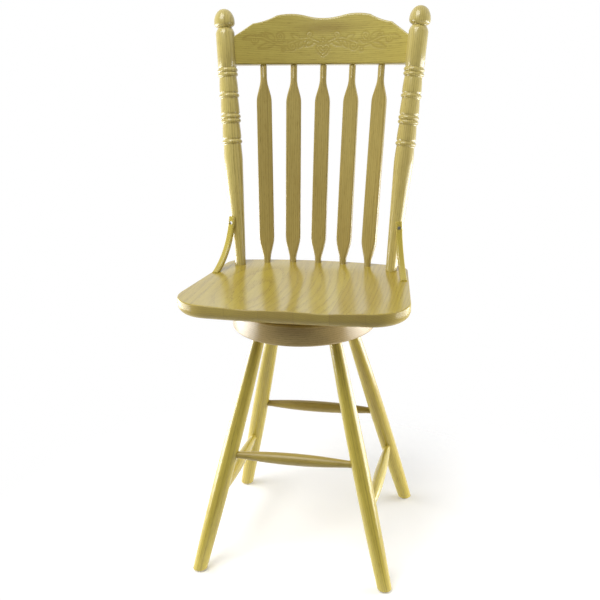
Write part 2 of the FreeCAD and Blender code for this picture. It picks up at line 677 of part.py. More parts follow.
POST_AT_CREST = f"({POST_SEAT_X} + Sizes.post_spread * {CREST_SHARE})"
POSTS_CURVE = f"({POST_SEAT_Y} + Sizes.post_lean * {CREST_SHARE} + {drop_at(POST_AT_CREST)})"
CREST_RUN = f"({POSTS_CURVE} + Sizes.crest_set_back - {SLAT_SEAT_Y})"
crest_run = number(CREST_RUN)
crest_rise = number(CREST_RISE)
back_lean = Rotation(Vector(1, 0, 0), -math.degrees(math.atan2(crest_run, crest_rise)))
crest_middle = Vector(0, number(SLAT_SEAT_Y) + crest_run, seat_top + crest_rise)
crest_place = Placement(crest_middle, back_lean)

# Crest rail: sawn to its wavy top edge from a bent plank, with both ends housed in the posts.
CREST_END = f"({POST_AT_CREST} - Sizes.post_diameter / 2 + Sizes.crest_housing)"


def crest_plank(name, glue_gaps):
    """The rail without its slat holes, grown on all sides by a number of glue gaps."""
    grown = f"{glue_gaps} * Sizes.glue_gap"
    end = f"({CREST_END} + {grown})"
    top = f"(Sizes.crest_hump_height + {grown})"
    turn = f"({top} - Sizes.crest_dip_depth / 2)"
    shoulder = f"(Sizes.crest_shoulder_height + {grown})"
    inner_x = "(Sizes.crest_hump_x - Sizes.crest_hump_half_width)"
    outer_x = "(Sizes.crest_hump_x + Sizes.crest_hump_half_width)"
    sag_x = f"({outer_x} + Sizes.crest_shoulder_x) / 2"
    sag_height = f"({turn} + {shoulder}) / 2 - Sizes.crest_shoulder_sag"
    end_height = f"(Sizes.crest_end_height + {grown})"
    low = f"(Sizes.crest_end_drop + {grown})"
    corners = (
        (f"-{end}", f"-{low}"),
        (end, f"-{low}"),
        (end, end_height),
        ("Sizes.crest_shoulder_x", shoulder),
        (outer_x, turn),
        (inner_x, turn),
        (f"-{inner_x}", turn),
        (f"-{outer_x}", turn),
        ("-Sizes.crest_shoulder_x", shoulder),
        (f"-{end}", end_height),
    )
    bulges = {
        0: ("0", f"-{grown}"),
        3: (sag_x, sag_height),
        4: ("Sizes.crest_hump_x", top),
        5: ("0", f"{top} - Sizes.crest_dip_depth"),
        6: ("-Sizes.crest_hump_x", top),
        7: (f"-{sag_x}", sag_height),
    }
    reach = f"(Sizes.crest_thickness + {CREST_END}^2 / Sizes.back_curve_radius)"
    saw_cut = sawn(f"{name}_outline", "XZ_Plane", corners, bulges, f"2 * {reach}", "Symmetric")
    centre = Placement(Vector(0, -size("back_curve_radius"), -size("crest_hump_height")), Rotation())
    height = "3 * Sizes.crest_hump_height"
    outer = rod(
        f"{name}_back",
        f"Sizes.back_curve_radius + Sizes.crest_thickness / 2 + {grown}",
        height,
        centre,
    )
    inner = rod(
        f"{name}_face",
        f"Sizes.back_curve_radius - Sizes.crest_thickness / 2 - {grown}",
        height,
        centre,
    )
    plank = doc.addObject("Part::Common", name)
    plank.Base = saw_cut
    plank.Tool = cut(f"{name}_bend", outer, [inner])
    plank.Placement = crest_place
    return plank


housing = crest_plank("crest_housing", 1)
plank = crest_plank("crest_plank", 0)
doc.recompute()
eased_rail = doc.addObject("Part::Fillet", "eased_rail")
eased_rail.Base = plank
eased_rail.Edges = [
    (index, size("crest_edge_radius"), size("crest_edge_radius"))
    for index, edge in enumerate(plank.Shape.Edges, start=1)
    if span(edge).x > SAME_PLACE
]

# Pins through the backs of the posts lock the rail's ends.
crest_pin = rod("crest_pin", "Sizes.crest_pin_diameter / 2", "Sizes.crest_pin_length", Placement())
pin_places = []
pin_drills = {}
for side_name, side in SIDES:
    pin_x = number(CREST_END) - size("crest_pin_inset")
    swing = Rotation(UP, -side * math.degrees(math.asin(pin_x / size("back_curve_radius"))))
    pin_middle = Vector(side * pin_x, -sweep_drop(pin_x), size("crest_pin_height"))
    forward = swing.multVec(Vector(0, -1, 0))
    pin_start = pin_middle - forward * (size("crest_pin_length") / 2)
    pin_place = crest_place * along(pin_start, pin_start + forward)
    pin_places.append(pin_place)
    overrun = Placement(Vector(0, 0, -size("post_diameter") / 2), Rotation())
    pin_drills[side_name] = rod(
        f"{side_name}_pin_hole",
        "Sizes.crest_pin_diameter / 2 + Sizes.glue_gap",
        "Sizes.crest_pin_length + Sizes.post_diameter / 2 + Sizes.socket_end_gap",
        pin_place * overrun,
    )
pieces.append(group("crest_pins", crest_pin, pin_places))

# Slats: turned at both ends and flattened between, wide at the shoulders like an arrow's flight.
NECK_HALF = "Sizes.slat_neck_diameter / 2"
FLAT_HALF = "Sizes.slat_width / 2"
LEAN_LENGTH = f"sqrt({CREST_RISE}^2 + {CREST_RUN}^2)"


def is_shoulder(edge):
    """A short edge through the slat where a flare meets the flat part."""
    return span(edge).y > SAME_PLACE and abs(abs(edge.CenterOfMass.x) - size("slat_width") / 2) < SAME_PLACE


def is_long_edge(edge):
    """An edge along a face of the slat, but not across its ends."""
    on_face = abs(abs(edge.CenterOfMass.y) - size("slat_thickness") / 2) < SAME_PLACE
    return on_face and span(edge).z > SAME_PLACE


slat_tools = {"seat": [], "crest": []}
slat_count = int(size("slat_count"))
for index in range(slat_count):
    offset = index - (slat_count - 1) / 2
    seat_x = offset * size("slat_seat_pitch")
    crest_x = offset * size("slat_crest_pitch")
    foot = Vector(seat_x, number(SLAT_SEAT_Y) - sweep_drop(seat_x), seat_top)
    head = crest_place.multVec(Vector(crest_x, -sweep_drop(crest_x), 0))
    seat_drop = drop_at(f"{offset} * Sizes.slat_seat_pitch")
    crest_drop = drop_at(f"{offset} * Sizes.slat_crest_pitch")
    step_x = f"({offset} * (Sizes.slat_crest_pitch - Sizes.slat_seat_pitch))"
    step_y = f"({CREST_RUN} + {seat_drop} - {crest_drop} * {CREST_RISE} / {LEAN_LENGTH})"
    step_z = f"({CREST_RISE} + {crest_drop} * {CREST_RUN} / {LEAN_LENGTH})"
    length = f"sqrt({step_x}^2 + {step_y}^2 + {step_z}^2)"
    flat_start = "Sizes.slat_lower_neck"
    wide_start = "(Sizes.slat_lower_neck + Sizes.slat_lower_flare)"
    wide_end = f"({length} - Sizes.slat_upper_neck - Sizes.slat_upper_flare)"
    flat_end = f"({length} - Sizes.slat_upper_neck)"
    name = f"back_slat_{index + 1}"
    slat = sawn(
        name,
        "XZ_Plane",
        (
            (NECK_HALF, flat_start),
            (FLAT_HALF, wide_start),
            (FLAT_HALF, wide_end),
            (NECK_HALF, flat_end),
            (f"-{NECK_HALF}", flat_end),
            (f"-{FLAT_HALF}", wide_end),
            (f"-{FLAT_HALF}", wide_start),
            (f"-{NECK_HALF}", flat_start),
        ),
        {},
        "Sizes.slat_thickness",
        "Symmetric",
    )
    rounded(slat, f"{name}_shoulders", "Sizes.slat_shoulder_radius", is_shoulder)
    rounded(slat, f"{name}_edges", "Sizes.slat_edge_radius", is_long_edge)
    for part, tenon, neck, blend in (
        ("foot", "-Sizes.slat_seat_tenon", flat_start, f"{flat_start} + Sizes.slat_blend_length"),
        ("head", f"{length} + Sizes.slat_crest_tenon", flat_end, f"{flat_end} - Sizes.slat_blend_length"),
    ):
        profile = new_sketch(slat, f"{name}_{part}_profile", "XZ_Plane")
        outline(profile, (("0", tenon), (NECK_HALF, tenon), (NECK_HALF, neck), ("0", blend)), {})
        round_end = slat.newObject("PartDesign::Revolution", f"{name}_{part}")
        round_end.Profile = profile
        round_end.ReferenceAxis = (profile, ["V_Axis"])
        round_end.Angle = 360
    facing = Rotation(UP, -math.degrees(math.asin((seat_x + crest_x) / 2 / size("back_curve_radius"))))
    across = facing.multVec(Vector(1, 0, 0))
    slat.Placement = Placement(foot, Rotation(across, Vector(), head - foot, "ZXY"))
    pieces.append(slat)
    start = slat.Placement.multVec(UP * -(size("slat_seat_tenon") + size("socket_end_gap")))
    slat_tools["seat"].append(
        rod(
            f"{name}_seat_drill",
            f"{NECK_HALF} + Sizes.glue_gap",
            "Sizes.slat_seat_tenon + Sizes.slat_lower_neck + Sizes.socket_end_gap",
            along(start, head),
        )
    )
    slat_tools["crest"].append(
        rod(
            f"{name}_crest_drill",
            f"{NECK_HALF} + Sizes.glue_gap",
            "Sizes.slat_crest_tenon + Sizes.slat_upper_neck / 2 + Sizes.socket_end_gap",
            along(head - (head - foot).normalize() * (size("slat_upper_neck") / 2), head * 2 - foot),
        )
    )
pieces.append(cut("crest_rail", eased_rail, slat_tools["crest"] + list(pin_drills.values())))

# Back posts: turned with a long taper, rings of single and double beads, and an acorn finial.
NECK = "sqrt(Sizes.post_spread^2 + Sizes.post_lean^2 + Sizes.post_rise^2)"
POST_HALF = "Sizes.post_diameter / 2"
NECK_SIDE = "Sizes.neck_diameter / 2"
BEADS_PER_RING = (1, 2, 1, 2)
RINGS_ABOVE = len(BEADS_PER_RING) - 1
BEAD_FIRST = f"({NECK} - Sizes.bead_below_neck - {RINGS_ABOVE} * Sizes.bead_pitch)"
TAPER_TOP = f"({BEAD_FIRST} - Sizes.post_taper_below_beads)"
post_corners = [
    ("0", "-Sizes.post_tenon_length"),
    ("Sizes.post_seat_diameter / 2", "-Sizes.post_tenon_length"),
    ("Sizes.post_seat_diameter / 2", "Sizes.post_straight_length"),
    (POST_HALF, TAPER_TOP),
]
post_bulges = {}
for ring, beads in enumerate(BEADS_PER_RING):
    ring_start = f"{BEAD_FIRST} + {ring} * Sizes.bead_pitch - {beads / 2} * Sizes.bead_length"
    below = "Sizes.bead_hollow_diameter / 2" if beads == 2 else "Sizes.bead_groove_diameter / 2"
    post_corners.append((below, ring_start))
    for bead in range(beads):
        middle = f"{ring_start} + {bead + 0.5} * Sizes.bead_length"
        post_bulges[len(post_corners) - 1] = ("Sizes.bead_diameter / 2", middle)
        above = f"{ring_start} + {bead + 1} * Sizes.bead_length"
        post_corners.append(("Sizes.bead_groove_diameter / 2", above))
    post_corners.append((POST_HALF, f"{above} + Sizes.bead_length / 3"))
post_bulges[len(post_corners)] = (
    f"{POST_HALF} - (Sizes.post_diameter - Sizes.neck_diameter) / 6",
    f"{NECK} - Sizes.post_shoulder_length / 2",
)
post_corners.append((POST_HALF, f"{NECK} - Sizes.post_shoulder_length"))

# The finial's side is one arc, upright at the belly, that runs smoothly into its round cap.
BELLY_HALF = "(Sizes.finial_diameter / 2)"
CAP = "Sizes.finial_cap_radius"
CAP_RISE = f"(Sizes.finial_height - {CAP} - Sizes.finial_belly_height)"
SIDE = f"(({BELLY_HALF}^2 + {CAP_RISE}^2 - {CAP}^2) / (2 * ({BELLY_HALF} - {CAP})))"
MEET_COS = f"(({SIDE} - {BELLY_HALF}) / ({SIDE} - {CAP}))"
MEET_SIN = f"({CAP_RISE} / ({SIDE} - {CAP}))"
BELLY = f"({NECK} + Sizes.finial_belly_height)"
CAP_MIDDLE = f"({NECK} + Sizes.finial_height - {CAP})"
post_bulges[len(post_corners)] = (
    f"{NECK_SIDE} + ({BELLY_HALF} - {NECK_SIDE}) * sqrt(1 / 2)",
    f"{NECK} + Sizes.finial_belly_height * (1 - sqrt(1 / 2))",
)
post_corners.append((NECK_SIDE, NECK))
post_bulges[len(post_corners)] = (
    f"{BELLY_HALF} - {SIDE} + {SIDE} * sqrt((1 + {MEET_COS}) / 2)",
    f"{BELLY} + {SIDE} * sqrt((1 - {MEET_COS}) / 2)",
)
post_corners.append((BELLY_HALF, BELLY))
post_bulges[len(post_corners)] = (
    f"{CAP} * sqrt((1 - {MEET_SIN}) / 2)",
    f"{CAP_MIDDLE} + {CAP} * sqrt((1 + {MEET_SIN}) / 2)",
)
post_corners.append((f"{CAP} * {MEET_COS}", f"{CAP_MIDDLE} + {CAP} * {MEET_SIN}"))
post_corners.append(("0", f"{NECK} + Sizes.finial_height"))

# Braces: bent strips that rise from the seat's sides and lap the posts' outer fronts.
START_SIN = "sin(Sizes.brace_start_angle)"
START_COS = "cos(Sizes.brace_start_angle)"
END_SIN = "sin(Sizes.brace_end_angle)"
END_COS = "cos(Sizes.brace_end_angle)"
BEND_X = f"(-Sizes.brace_bend_radius * {START_SIN})"
BEND_Z = f"(Sizes.brace_bend_radius * {START_COS})"
BEND_INNER = "(Sizes.brace_bend_radius - Sizes.brace_thickness / 2)"
BEND_OUTER = "(Sizes.brace_bend_radius + Sizes.brace_thickness / 2)"
MIDDLE_ANGLE = "((Sizes.brace_start_angle + Sizes.brace_end_angle) / 2)"
TOE = "(-Sizes.brace_toe)"
brace_corners = (
    (TOE, "0"),
    (f"{BEND_X} + sqrt({BEND_OUTER}^2 - {BEND_Z}^2)", "0"),
    (f"{BEND_X} + {BEND_OUTER} * {END_SIN}", f"{BEND_Z} - {BEND_OUTER} * {END_COS}"),
    (f"{BEND_X} + {BEND_INNER} * {END_SIN}", f"{BEND_Z} - {BEND_INNER} * {END_COS}"),
    (TOE, f"{BEND_Z} - sqrt({BEND_INNER}^2 - ({TOE} - {BEND_X})^2)"),
)


def on_bend(radius, angle):
    """A point of the brace's bend."""
    return (f"{BEND_X} + {radius} * sin({angle})", f"{BEND_Z} - {radius} * cos({angle})")


brace_bulges = {1: on_bend(BEND_OUTER, MIDDLE_ANGLE), 3: on_bend(BEND_INNER, MIDDLE_ANGLE)}
brace_length = number(f"{BEND_X} + Sizes.brace_bend_radius * {END_SIN}")
brace_height = number(f"{BEND_Z} - Sizes.brace_bend_radius * {END_COS}")


def is_brace_edge(edge):
    """A curved edge of the strip, or one round its top end."""
    return edge.CenterOfMass.z > brace_height / 4


def wood_screw(name, length):
    """A countersunk screw: its flat head is at Z 0 and its shank runs down."""
    shank = "Sizes.brace_screw_diameter / 2"
    return turned(
        name,
        (
            ("0", "0"),
            ("Sizes.brace_screw_head_diameter / 2", "0"),
            (shank, "-Sizes.brace_screw_head_height"),
            (shank, f"Sizes.brace_screw_diameter - {length}"),
            ("0", f"-{length}"),
        ),
    )


def wood_screw_drills(name, length, sink, placement):
    """The shank's hole, and the wider hole that its head goes in by."""
    shank = rod(
        f"{name}_shank_hole",
        "Sizes.brace_screw_diameter / 2 + Sizes.glue_gap",
        f"{length} + Sizes.socket_end_gap",
        placement * Placement(Vector(), half_turn_over),
    )
    head = rod(
        f"{name}_head_hole",
        "Sizes.brace_screw_head_diameter / 2 + Sizes.glue_gap",
        f"Sizes.brace_screw_head_height + {sink}",
        placement * Placement(Vector(0, 0, -size("brace_screw_head_height")), Rotation()),
    )
    return [shank, head]


def post_radius(distance):
    """The post's radius at a distance up its taper from the seat."""
    straight = size("post_straight_length")
    share = (distance - straight) / (number(TAPER_TOP) - straight)
    share = min(max(share, 0), 1)
    return (size("post_seat_diameter") + (size("post_diameter") - size("post_seat_diameter")) * share) / 2


def brace_turn(top):
    """The angle from straight back at which a brace's foot comes to its inset from the seat's side.

    The side is the line x = rear half width + taper * (rear corner y - y), so with the foot a brace's
    length from its top, length * (sin turn - taper * cos turn) is the room left beside the top.
    """
    taper = number(SEAT_TAPER)
    slant = math.hypot(1, taper)
    side_at_top = size("seat_rear_width") / 2 + taper * (size("seat_rear_corner_y") - top.y)
    room = side_at_top - size("brace_foot_inset") * slant - abs(top.x)
    return math.atan(taper) + math.asin(room / (brace_length * slant))


post_screw = wood_screw("post_screw", "Sizes.post_screw_length")
SEAT_SCREW_LENGTH = "(Sizes.seat_thickness - Sizes.seat_screw_sink + Sizes.seat_screw_bite)"
seat_screw = wood_screw("seat_screw", SEAT_SCREW_LENGTH)
post_screw_places = []
seat_screw_places = []
seat_cutters = slat_tools["seat"] + screw_holes("upper_pilot", upper_screws)
for side_name, side in SIDES:
    foot = post_axis(side, seat_top)
    neck = post_axis(side, seat_top + size("post_rise"))
    post_place = along(foot, neck)

    lap = post_axis(side, seat_top + brace_height)
    face = math.radians(size("brace_face_angle"))
    outwards = Vector(side * math.sin(face), -math.cos(face), 0)
    lap_distance = post_radius(lap.distanceToPoint(foot)) + size("brace_thickness") / 2 - size("brace_notch")
    brace_top = lap + outwards * lap_distance
    turn = brace_turn(brace_top)
    back = Vector(-side * math.sin(turn), math.cos(turn), 0)
    brace_foot = brace_top - back * brace_length - UP * brace_height
    brace_place = Placement(brace_foot, Rotation(back, Vector(), UP, "ZXY"))

    name = f"{side_name}_side_brace"
    strip = sawn(f"{name}_strip", "XZ_Plane", brace_corners, brace_bulges, "Sizes.brace_width", "Symmetric")
    rounded(strip, f"{name}_edges", "Sizes.brace_edge_radius", is_brace_edge)
    strip.Placement = brace_place
    hollow = doc.addObject("Part::Cone", f"{name}_hollow")
    hollow.setExpression("Radius1", "Sizes.post_seat_diameter / 2 + Sizes.glue_gap")
    hollow.setExpression("Radius2", "Sizes.post_diameter / 2 + Sizes.glue_gap")
    hollow.setExpression("Height", f"{TAPER_TOP} - Sizes.post_straight_length")
    hollow.Placement = post_place * Placement(UP * size("post_straight_length"), Rotation())

    bend = size("brace_bend_radius")
    drop_angle = math.degrees(size("post_screw_drop") / bend)
    screw_spot = on_bend("Sizes.brace_bend_radius", f"(Sizes.brace_end_angle - {drop_angle})")
    screw_middle = brace_place.multVec(Vector(number(screw_spot[0]), 0, number(screw_spot[1])))
    head_rise = size("brace_thickness") / 2 - size("post_screw_sink")
    screw_head = screw_middle + outwards * head_rise
    post_screw_place = along(screw_head, screw_head + outwards)
    post_screw_places.append(post_screw_place)
    post_drills = wood_screw_drills(
        f"{name}_post_screw", "Sizes.post_screw_length", "Sizes.brace_width", post_screw_place
    )

    seat_spot = brace_place.multVec(Vector(size("seat_screw_place"), 0, 0))
    seat_spot.z = seat_bottom + size("seat_screw_sink")
    seat_screw_place = Placement(seat_spot, half_turn_over)
    seat_screw_places.append(seat_screw_place)
    seat_drills = wood_screw_drills(
        f"{name}_seat_screw", SEAT_SCREW_LENGTH, "Sizes.seat_screw_sink", seat_screw_place
    )
    pieces.append(cut(name, strip, [hollow] + post_drills + seat_drills[:1]))
    seat_cutters += seat_drills

    name = f"{side_name}_back_post"
    blank = turned(f"{name}_turned", post_corners, post_bulges)
    blank.Placement = post_place
    pieces.append(cut(name, blank, [housing, pin_drills[side_name], post_drills[0]]))
    tenon_end = Placement(UP * -(size("post_tenon_length") + size("socket_end_gap")), Rotation())
    seat_cutters.append(
        rod(
            f"{name}_drill",
            "Sizes.post_seat_diameter / 2 + Sizes.glue_gap",
            "Sizes.post_tenon_length + Sizes.socket_end_gap + Sizes.post_straight_length",
            post_place * tenon_end,
        )
    )
pieces.append(group("brace_post_screws", post_screw, post_screw_places))
pieces.append(group("brace_seat_screws", seat_screw, seat_screw_places))

# Seat: a glued-up oak board with bowed front and rear edges and two shallow thigh hollows.
FRONT_HALF = "Sizes.seat_front_width / 2"
REAR_HALF = "Sizes.seat_rear_width / 2"
board = sawn(
    "seat_board",
    "XY_Plane",
    (
        (f"-{FRONT_HALF}", "-Sizes.seat_front_corner_y"),
        (FRONT_HALF, "-Sizes.seat_front_corner_y"),
        (REAR_HALF, "Sizes.seat_rear_corner_y"),
        (f"-{REAR_HALF}", "Sizes.seat_rear_corner_y"),
    ),
    {
        0: ("0", "-(Sizes.seat_front_corner_y + Sizes.seat_front_bow)"),
        2: ("0", "Sizes.seat_rear_corner_y + Sizes.seat_rear_bow"),
    },
    "Sizes.seat_thickness",
    "One side",
)


def is_front_corner(edge):
    """An upright edge at the front of the seat."""
    return is_upright(edge) and edge.CenterOfMass.y < 0


def is_rear_corner(edge):
    """An upright edge at the rear of the seat, straight through the board."""
    return is_upright(edge) and abs(edge.CenterOfMass.y - size("seat_rear_corner_y")) < SAME_PLACE


def is_level_at(height):
    """A test for the edges that lie level at a height of the board."""
    return lambda edge: all(abs(vertex.Z - height) < SAME_PLACE for vertex in edge.Vertexes)


rounded(board, "seat_front_corners", "Sizes.seat_front_corner_radius", is_front_corner)
rounded(board, "seat_rear_corners", "Sizes.seat_rear_corner_radius", is_rear_corner)
rounded(board, "seat_bottom_edge", "Sizes.seat_bottom_edge_radius", is_level_at(0))
rounded(board, "seat_top_edge", "Sizes.seat_top_edge_radius", is_level_at(size("seat_thickness")))
board.Placement.Base = UP * seat_bottom

# Each hollow is the cap of an ellipsoid whose middle is this many depths above the rim.
HOLLOW_LIFT = 6
RIM_SHARE = f"sqrt(1 - ({HOLLOW_LIFT} / ({HOLLOW_LIFT} + 1))^2)"
for side_name, side in SIDES:
    hollow = doc.addObject("Part::Ellipsoid", f"{side_name}_hollow")
    hollow.setExpression("Radius1", f"Sizes.hollow_depth * ({HOLLOW_LIFT} + 1)")
    hollow.setExpression("Radius2", f"Sizes.hollow_width / 2 / {RIM_SHARE}")
    hollow.setExpression("Radius3", f"Sizes.hollow_length / 2 / {RIM_SHARE}")
    hollow.setExpression("Placement.Base.x", f"{side} * Sizes.hollow_spacing / 2")
    hollow.setExpression("Placement.Base.y", "-Sizes.hollow_forward")
    hollow.setExpression("Placement.Base.z", f"Sizes.seat_height + {HOLLOW_LIFT} * Sizes.hollow_depth")
    seat_cutters.append(hollow)
pieces.append(cut("seat", board, seat_cutters))

doc.recompute()
for thing in doc.Objects:
    faults = {"Invalid", "Error"} & set(thing.State)
    if faults:
        raise RuntimeError(f"{thing.Label} could not be made: {thing.State}")
for piece in pieces:
    if piece.Shape.isNull() or not piece.Shape.isValid() or not piece.Shape.Solids:
        raise RuntimeError(f"{piece.Label} is not a valid solid")

os.makedirs("parts", exist_ok=True)
for piece in pieces:
    piece.Shape.exportStep(f"parts/{piece.Label}.step")
    print(f"{piece.Label}: {len(piece.Shape.Solids)} solid(s), {piece.Shape.Volume / 1000:.2f} cm3")
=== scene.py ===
import json

import bpy
import numpy as np
from mathutils import Matrix

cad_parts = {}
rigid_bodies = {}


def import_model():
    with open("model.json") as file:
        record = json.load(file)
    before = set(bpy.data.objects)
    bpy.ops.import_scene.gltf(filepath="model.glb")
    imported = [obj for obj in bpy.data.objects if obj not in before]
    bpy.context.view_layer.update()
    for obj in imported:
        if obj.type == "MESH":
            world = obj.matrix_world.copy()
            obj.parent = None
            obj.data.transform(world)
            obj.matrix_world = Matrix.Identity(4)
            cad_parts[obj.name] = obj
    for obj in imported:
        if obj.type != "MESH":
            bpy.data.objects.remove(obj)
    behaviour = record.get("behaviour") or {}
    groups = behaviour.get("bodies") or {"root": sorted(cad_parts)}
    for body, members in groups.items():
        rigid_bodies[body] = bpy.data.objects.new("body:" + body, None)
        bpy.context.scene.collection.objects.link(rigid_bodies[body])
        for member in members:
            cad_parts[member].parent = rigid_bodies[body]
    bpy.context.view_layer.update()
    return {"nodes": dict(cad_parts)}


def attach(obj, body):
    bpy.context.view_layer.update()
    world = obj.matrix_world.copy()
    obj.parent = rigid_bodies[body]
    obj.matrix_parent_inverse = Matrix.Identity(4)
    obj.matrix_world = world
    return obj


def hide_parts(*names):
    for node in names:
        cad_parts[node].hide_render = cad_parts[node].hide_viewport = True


for leftover in list(bpy.data.objects):
    bpy.data.objects.remove(leftover)
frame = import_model()
solids = frame["nodes"]

# Legs: four oak turnings that swell towards the middle and splay both ways. Each is turned between
# centres and varnished, glued into a raked hole in the block, and its foot is sawn level.
MM = 0.001
LEG_FOOT = np.array([204.0, 194.0, 0.0])
LEG_SHOULDER = np.array([78.5, 75.0, 520.0])
LEG_FOOT_RADIUS = 15.0
LEG_SWELL_RADIUS = 18.0
LEG_SWELL_HEIGHT = 290.0
LEG_TOP_RADIUS = 12.5
LEG_IN_BLOCK = 20.0
LEG_STEPS = 90
FOOT_LEVEL = 4.0
FOOT_EDGE = ((-1.4, 0.0), (-0.4, 0.3), (0.0, 1.3))
AROUND = 56
CORNERS = {
    "front_left": (-1, -1, 1),
    "front_right": (1, -1, 1),
    "rear_left": (-1, 1, 1),
    "rear_right": (1, 1, 1),
}


def skin(name, rings, grain):
    """A closed skin over rings[i, j], which is point j of ring i.

    A quad joins each pair of neighbours on a ring to the same pair on the next ring, the last point
    of a ring joins its first, and one flat face closes each end. grain[i, j] is the same point in the
    frame of the board it was cut from, with Z along the fibres.
    """
    count, around = rings.shape[:2]
    index = np.arange(count * around).reshape(count, around)
    beside = np.roll(index, -1, axis=1)
    quads = np.stack([index[:-1], beside[:-1], beside[1:], index[1:]], axis=-1).reshape(-1, 4)
    mesh = bpy.data.meshes.new(name)
    ends = [index[0, ::-1].tolist(), index[-1].tolist()]
    mesh.from_pydata((rings.reshape(-1, 3) * MM).tolist(), [], quads.tolist() + ends)
    smooth = np.ones(len(mesh.polygons), bool)
    smooth[-len(ends):] = False
    mesh.polygons.foreach_set("use_smooth", smooth)
    fibres = mesh.attributes.new("grain", "FLOAT_VECTOR", "POINT")
    fibres.data.foreach_set("vector", (grain.reshape(-1) * MM).astype(np.float32))
    mesh.update()
    piece = bpy.data.objects.new(name, mesh)
    bpy.context.scene.collection.objects.link(piece)
    return piece


def arc(start, through, end, count):
    """Points on the circle through three points, from the first by the second to the third.

    The centre is where the perpendicular bisectors meet, and the angle about it grows evenly.
    """
    a, b, c = np.array([start, through, end], float)
    twice_area = 2 * (a[0] * (b[1] - c[1]) + b[0] * (c[1] - a[1]) + c[0] * (a[1] - b[1]))
    squares = np.array([a @ a, b @ b, c @ c])
    centre_x = squares @ np.array([b[1] - c[1], c[1] - a[1], a[1] - b[1]]) / twice_area
    centre_y = squares @ np.array([c[0] - b[0], a[0] - c[0], b[0] - a[0]]) / twice_area
    centre = np.array([centre_x, centre_y])
    spokes = np.array([a, b, c]) - centre
    angles = np.unwrap(np.arctan2(spokes[:, 1], spokes[:, 0]))
    turn = np.linspace(angles[0], angles[2], count)
    return centre + np.hypot(*spokes[0]) * np.stack([np.cos(turn), np.sin(turn)], axis=1)


def turned(profile, start, end, level=None):
    """Rings of a turning whose profile rows are (radius, distance up the axis from start).

    A point is start + axis * distance + radius * (across * cos angle + beside * sin angle). With a
    level, each line along the turning is slid so that its lower end lies at that height.
    """
    axis = (end - start) / np.linalg.norm(end - start)
    upright = np.argmax(np.abs(axis)) == 2
    across = np.cross((0, 1, 0) if upright else (0, 0, 1), axis)
    across = across / np.linalg.norm(across)
    beside = np.cross(axis, across)
    angle = np.linspace(0, 2 * np.pi, AROUND, endpoint=False)
    circle = np.cos(angle)[:, None] * across + np.sin(angle)[:, None] * beside
    radius = profile[:, :1]
    distance = np.repeat(profile[:, 1:], AROUND, axis=1)
    if level is not None:
        cut = (level - start[2] - radius * circle[:, 2]) / axis[2]
        distance = distance + cut * (1 - distance / distance.max())
    rings = start + distance[..., None] * axis + radius[..., None] * circle
    grain = np.stack([radius * np.cos(angle), radius * np.sin(angle), distance], axis=-1)
    return rings, grain


LOG_STEP = np.array([29.0, 23.0, 930.0])
LOG_CORNER = np.array([36.0, 48.0, 0.0])
LOG_ROWS = 4
LOG_COLUMNS = 5


def board(number):
    """Where in its log a piece was cut, so that no two pieces show the same figure."""
    return LOG_STEP * (number % LOG_ROWS, number % LOG_COLUMNS, number) - LOG_CORNER


def node(tree, kind, inputs=None, **settings):
    """A shader node, with each input set to a value or joined to another node's socket."""
    made = tree.nodes.new(f"ShaderNode{kind}")
    for setting, value in settings.items():
        setattr(made, setting, value)
    for key, value in (inputs or {}).items():
        if isinstance(value, bpy.types.NodeSocket):
            tree.links.new(value, made.inputs[key])
        else:
            made.inputs[key].default_value = value
    return made


def reckon(tree, operation, first, second=0.0, third=0.0):
    """One step of arithmetic on sockets and numbers."""
    return node(tree, "Math", {0: first, 1: second, 2: third}, operation=operation).outputs[0]


def reckon_vector(tree, operation, first, second, third=(0.0, 0.0, 0.0)):
    """One step of arithmetic on vectors, part by part."""
    return node(tree, "VectorMath", {0: first, 1: second, 2: third}, operation=operation).outputs[0]


def ramp(tree, value, low, high, start=0.0, finish=1.0):
    """A smooth step of a value from start to finish as it goes from low to high."""
    limits = {"Value": value, "From Min": low, "From Max": high, "To Min": start, "To Max": finish}
    return node(tree, "MapRange", limits, interpolation_type="SMOOTHSTEP").outputs["Result"]


def blend(tree, share, first, second):
    """A colour between two colours."""
    mixed = node(tree, "Mix", {0: share, 6: first, 7: second}, data_type="RGBA")
    return mixed.outputs[2]


NOISE_ROUGHNESS = 0.55


def stretched_noise(tree, place, stretch, detail):
    """Noise that is long in the direction where the stretch is small."""
    scaled = reckon_vector(tree, "MULTIPLY", place, stretch)
    inputs = {"Vector": scaled, "Scale": 1.0, "Detail": detail, "Roughness": NOISE_ROUGHNESS}
    return node(tree, "TexNoise", inputs).outputs


def shader_group(name, inputs, outputs):
    """An empty node group with named sockets: its tree, the sockets it is given and those it fills."""
    tree = bpy.data.node_groups.new(name, "ShaderNodeTree")
    for side, sockets in (("INPUT", inputs), ("OUTPUT", outputs)):
        for title, kind in sockets.items():
            tree.interface.new_socket(title, in_out=side, socket_type=f"NodeSocket{kind}")
    given = tree.nodes.new("NodeGroupInput").outputs
    result = tree.nodes.new("NodeGroupOutput").inputs
    return tree, given, result


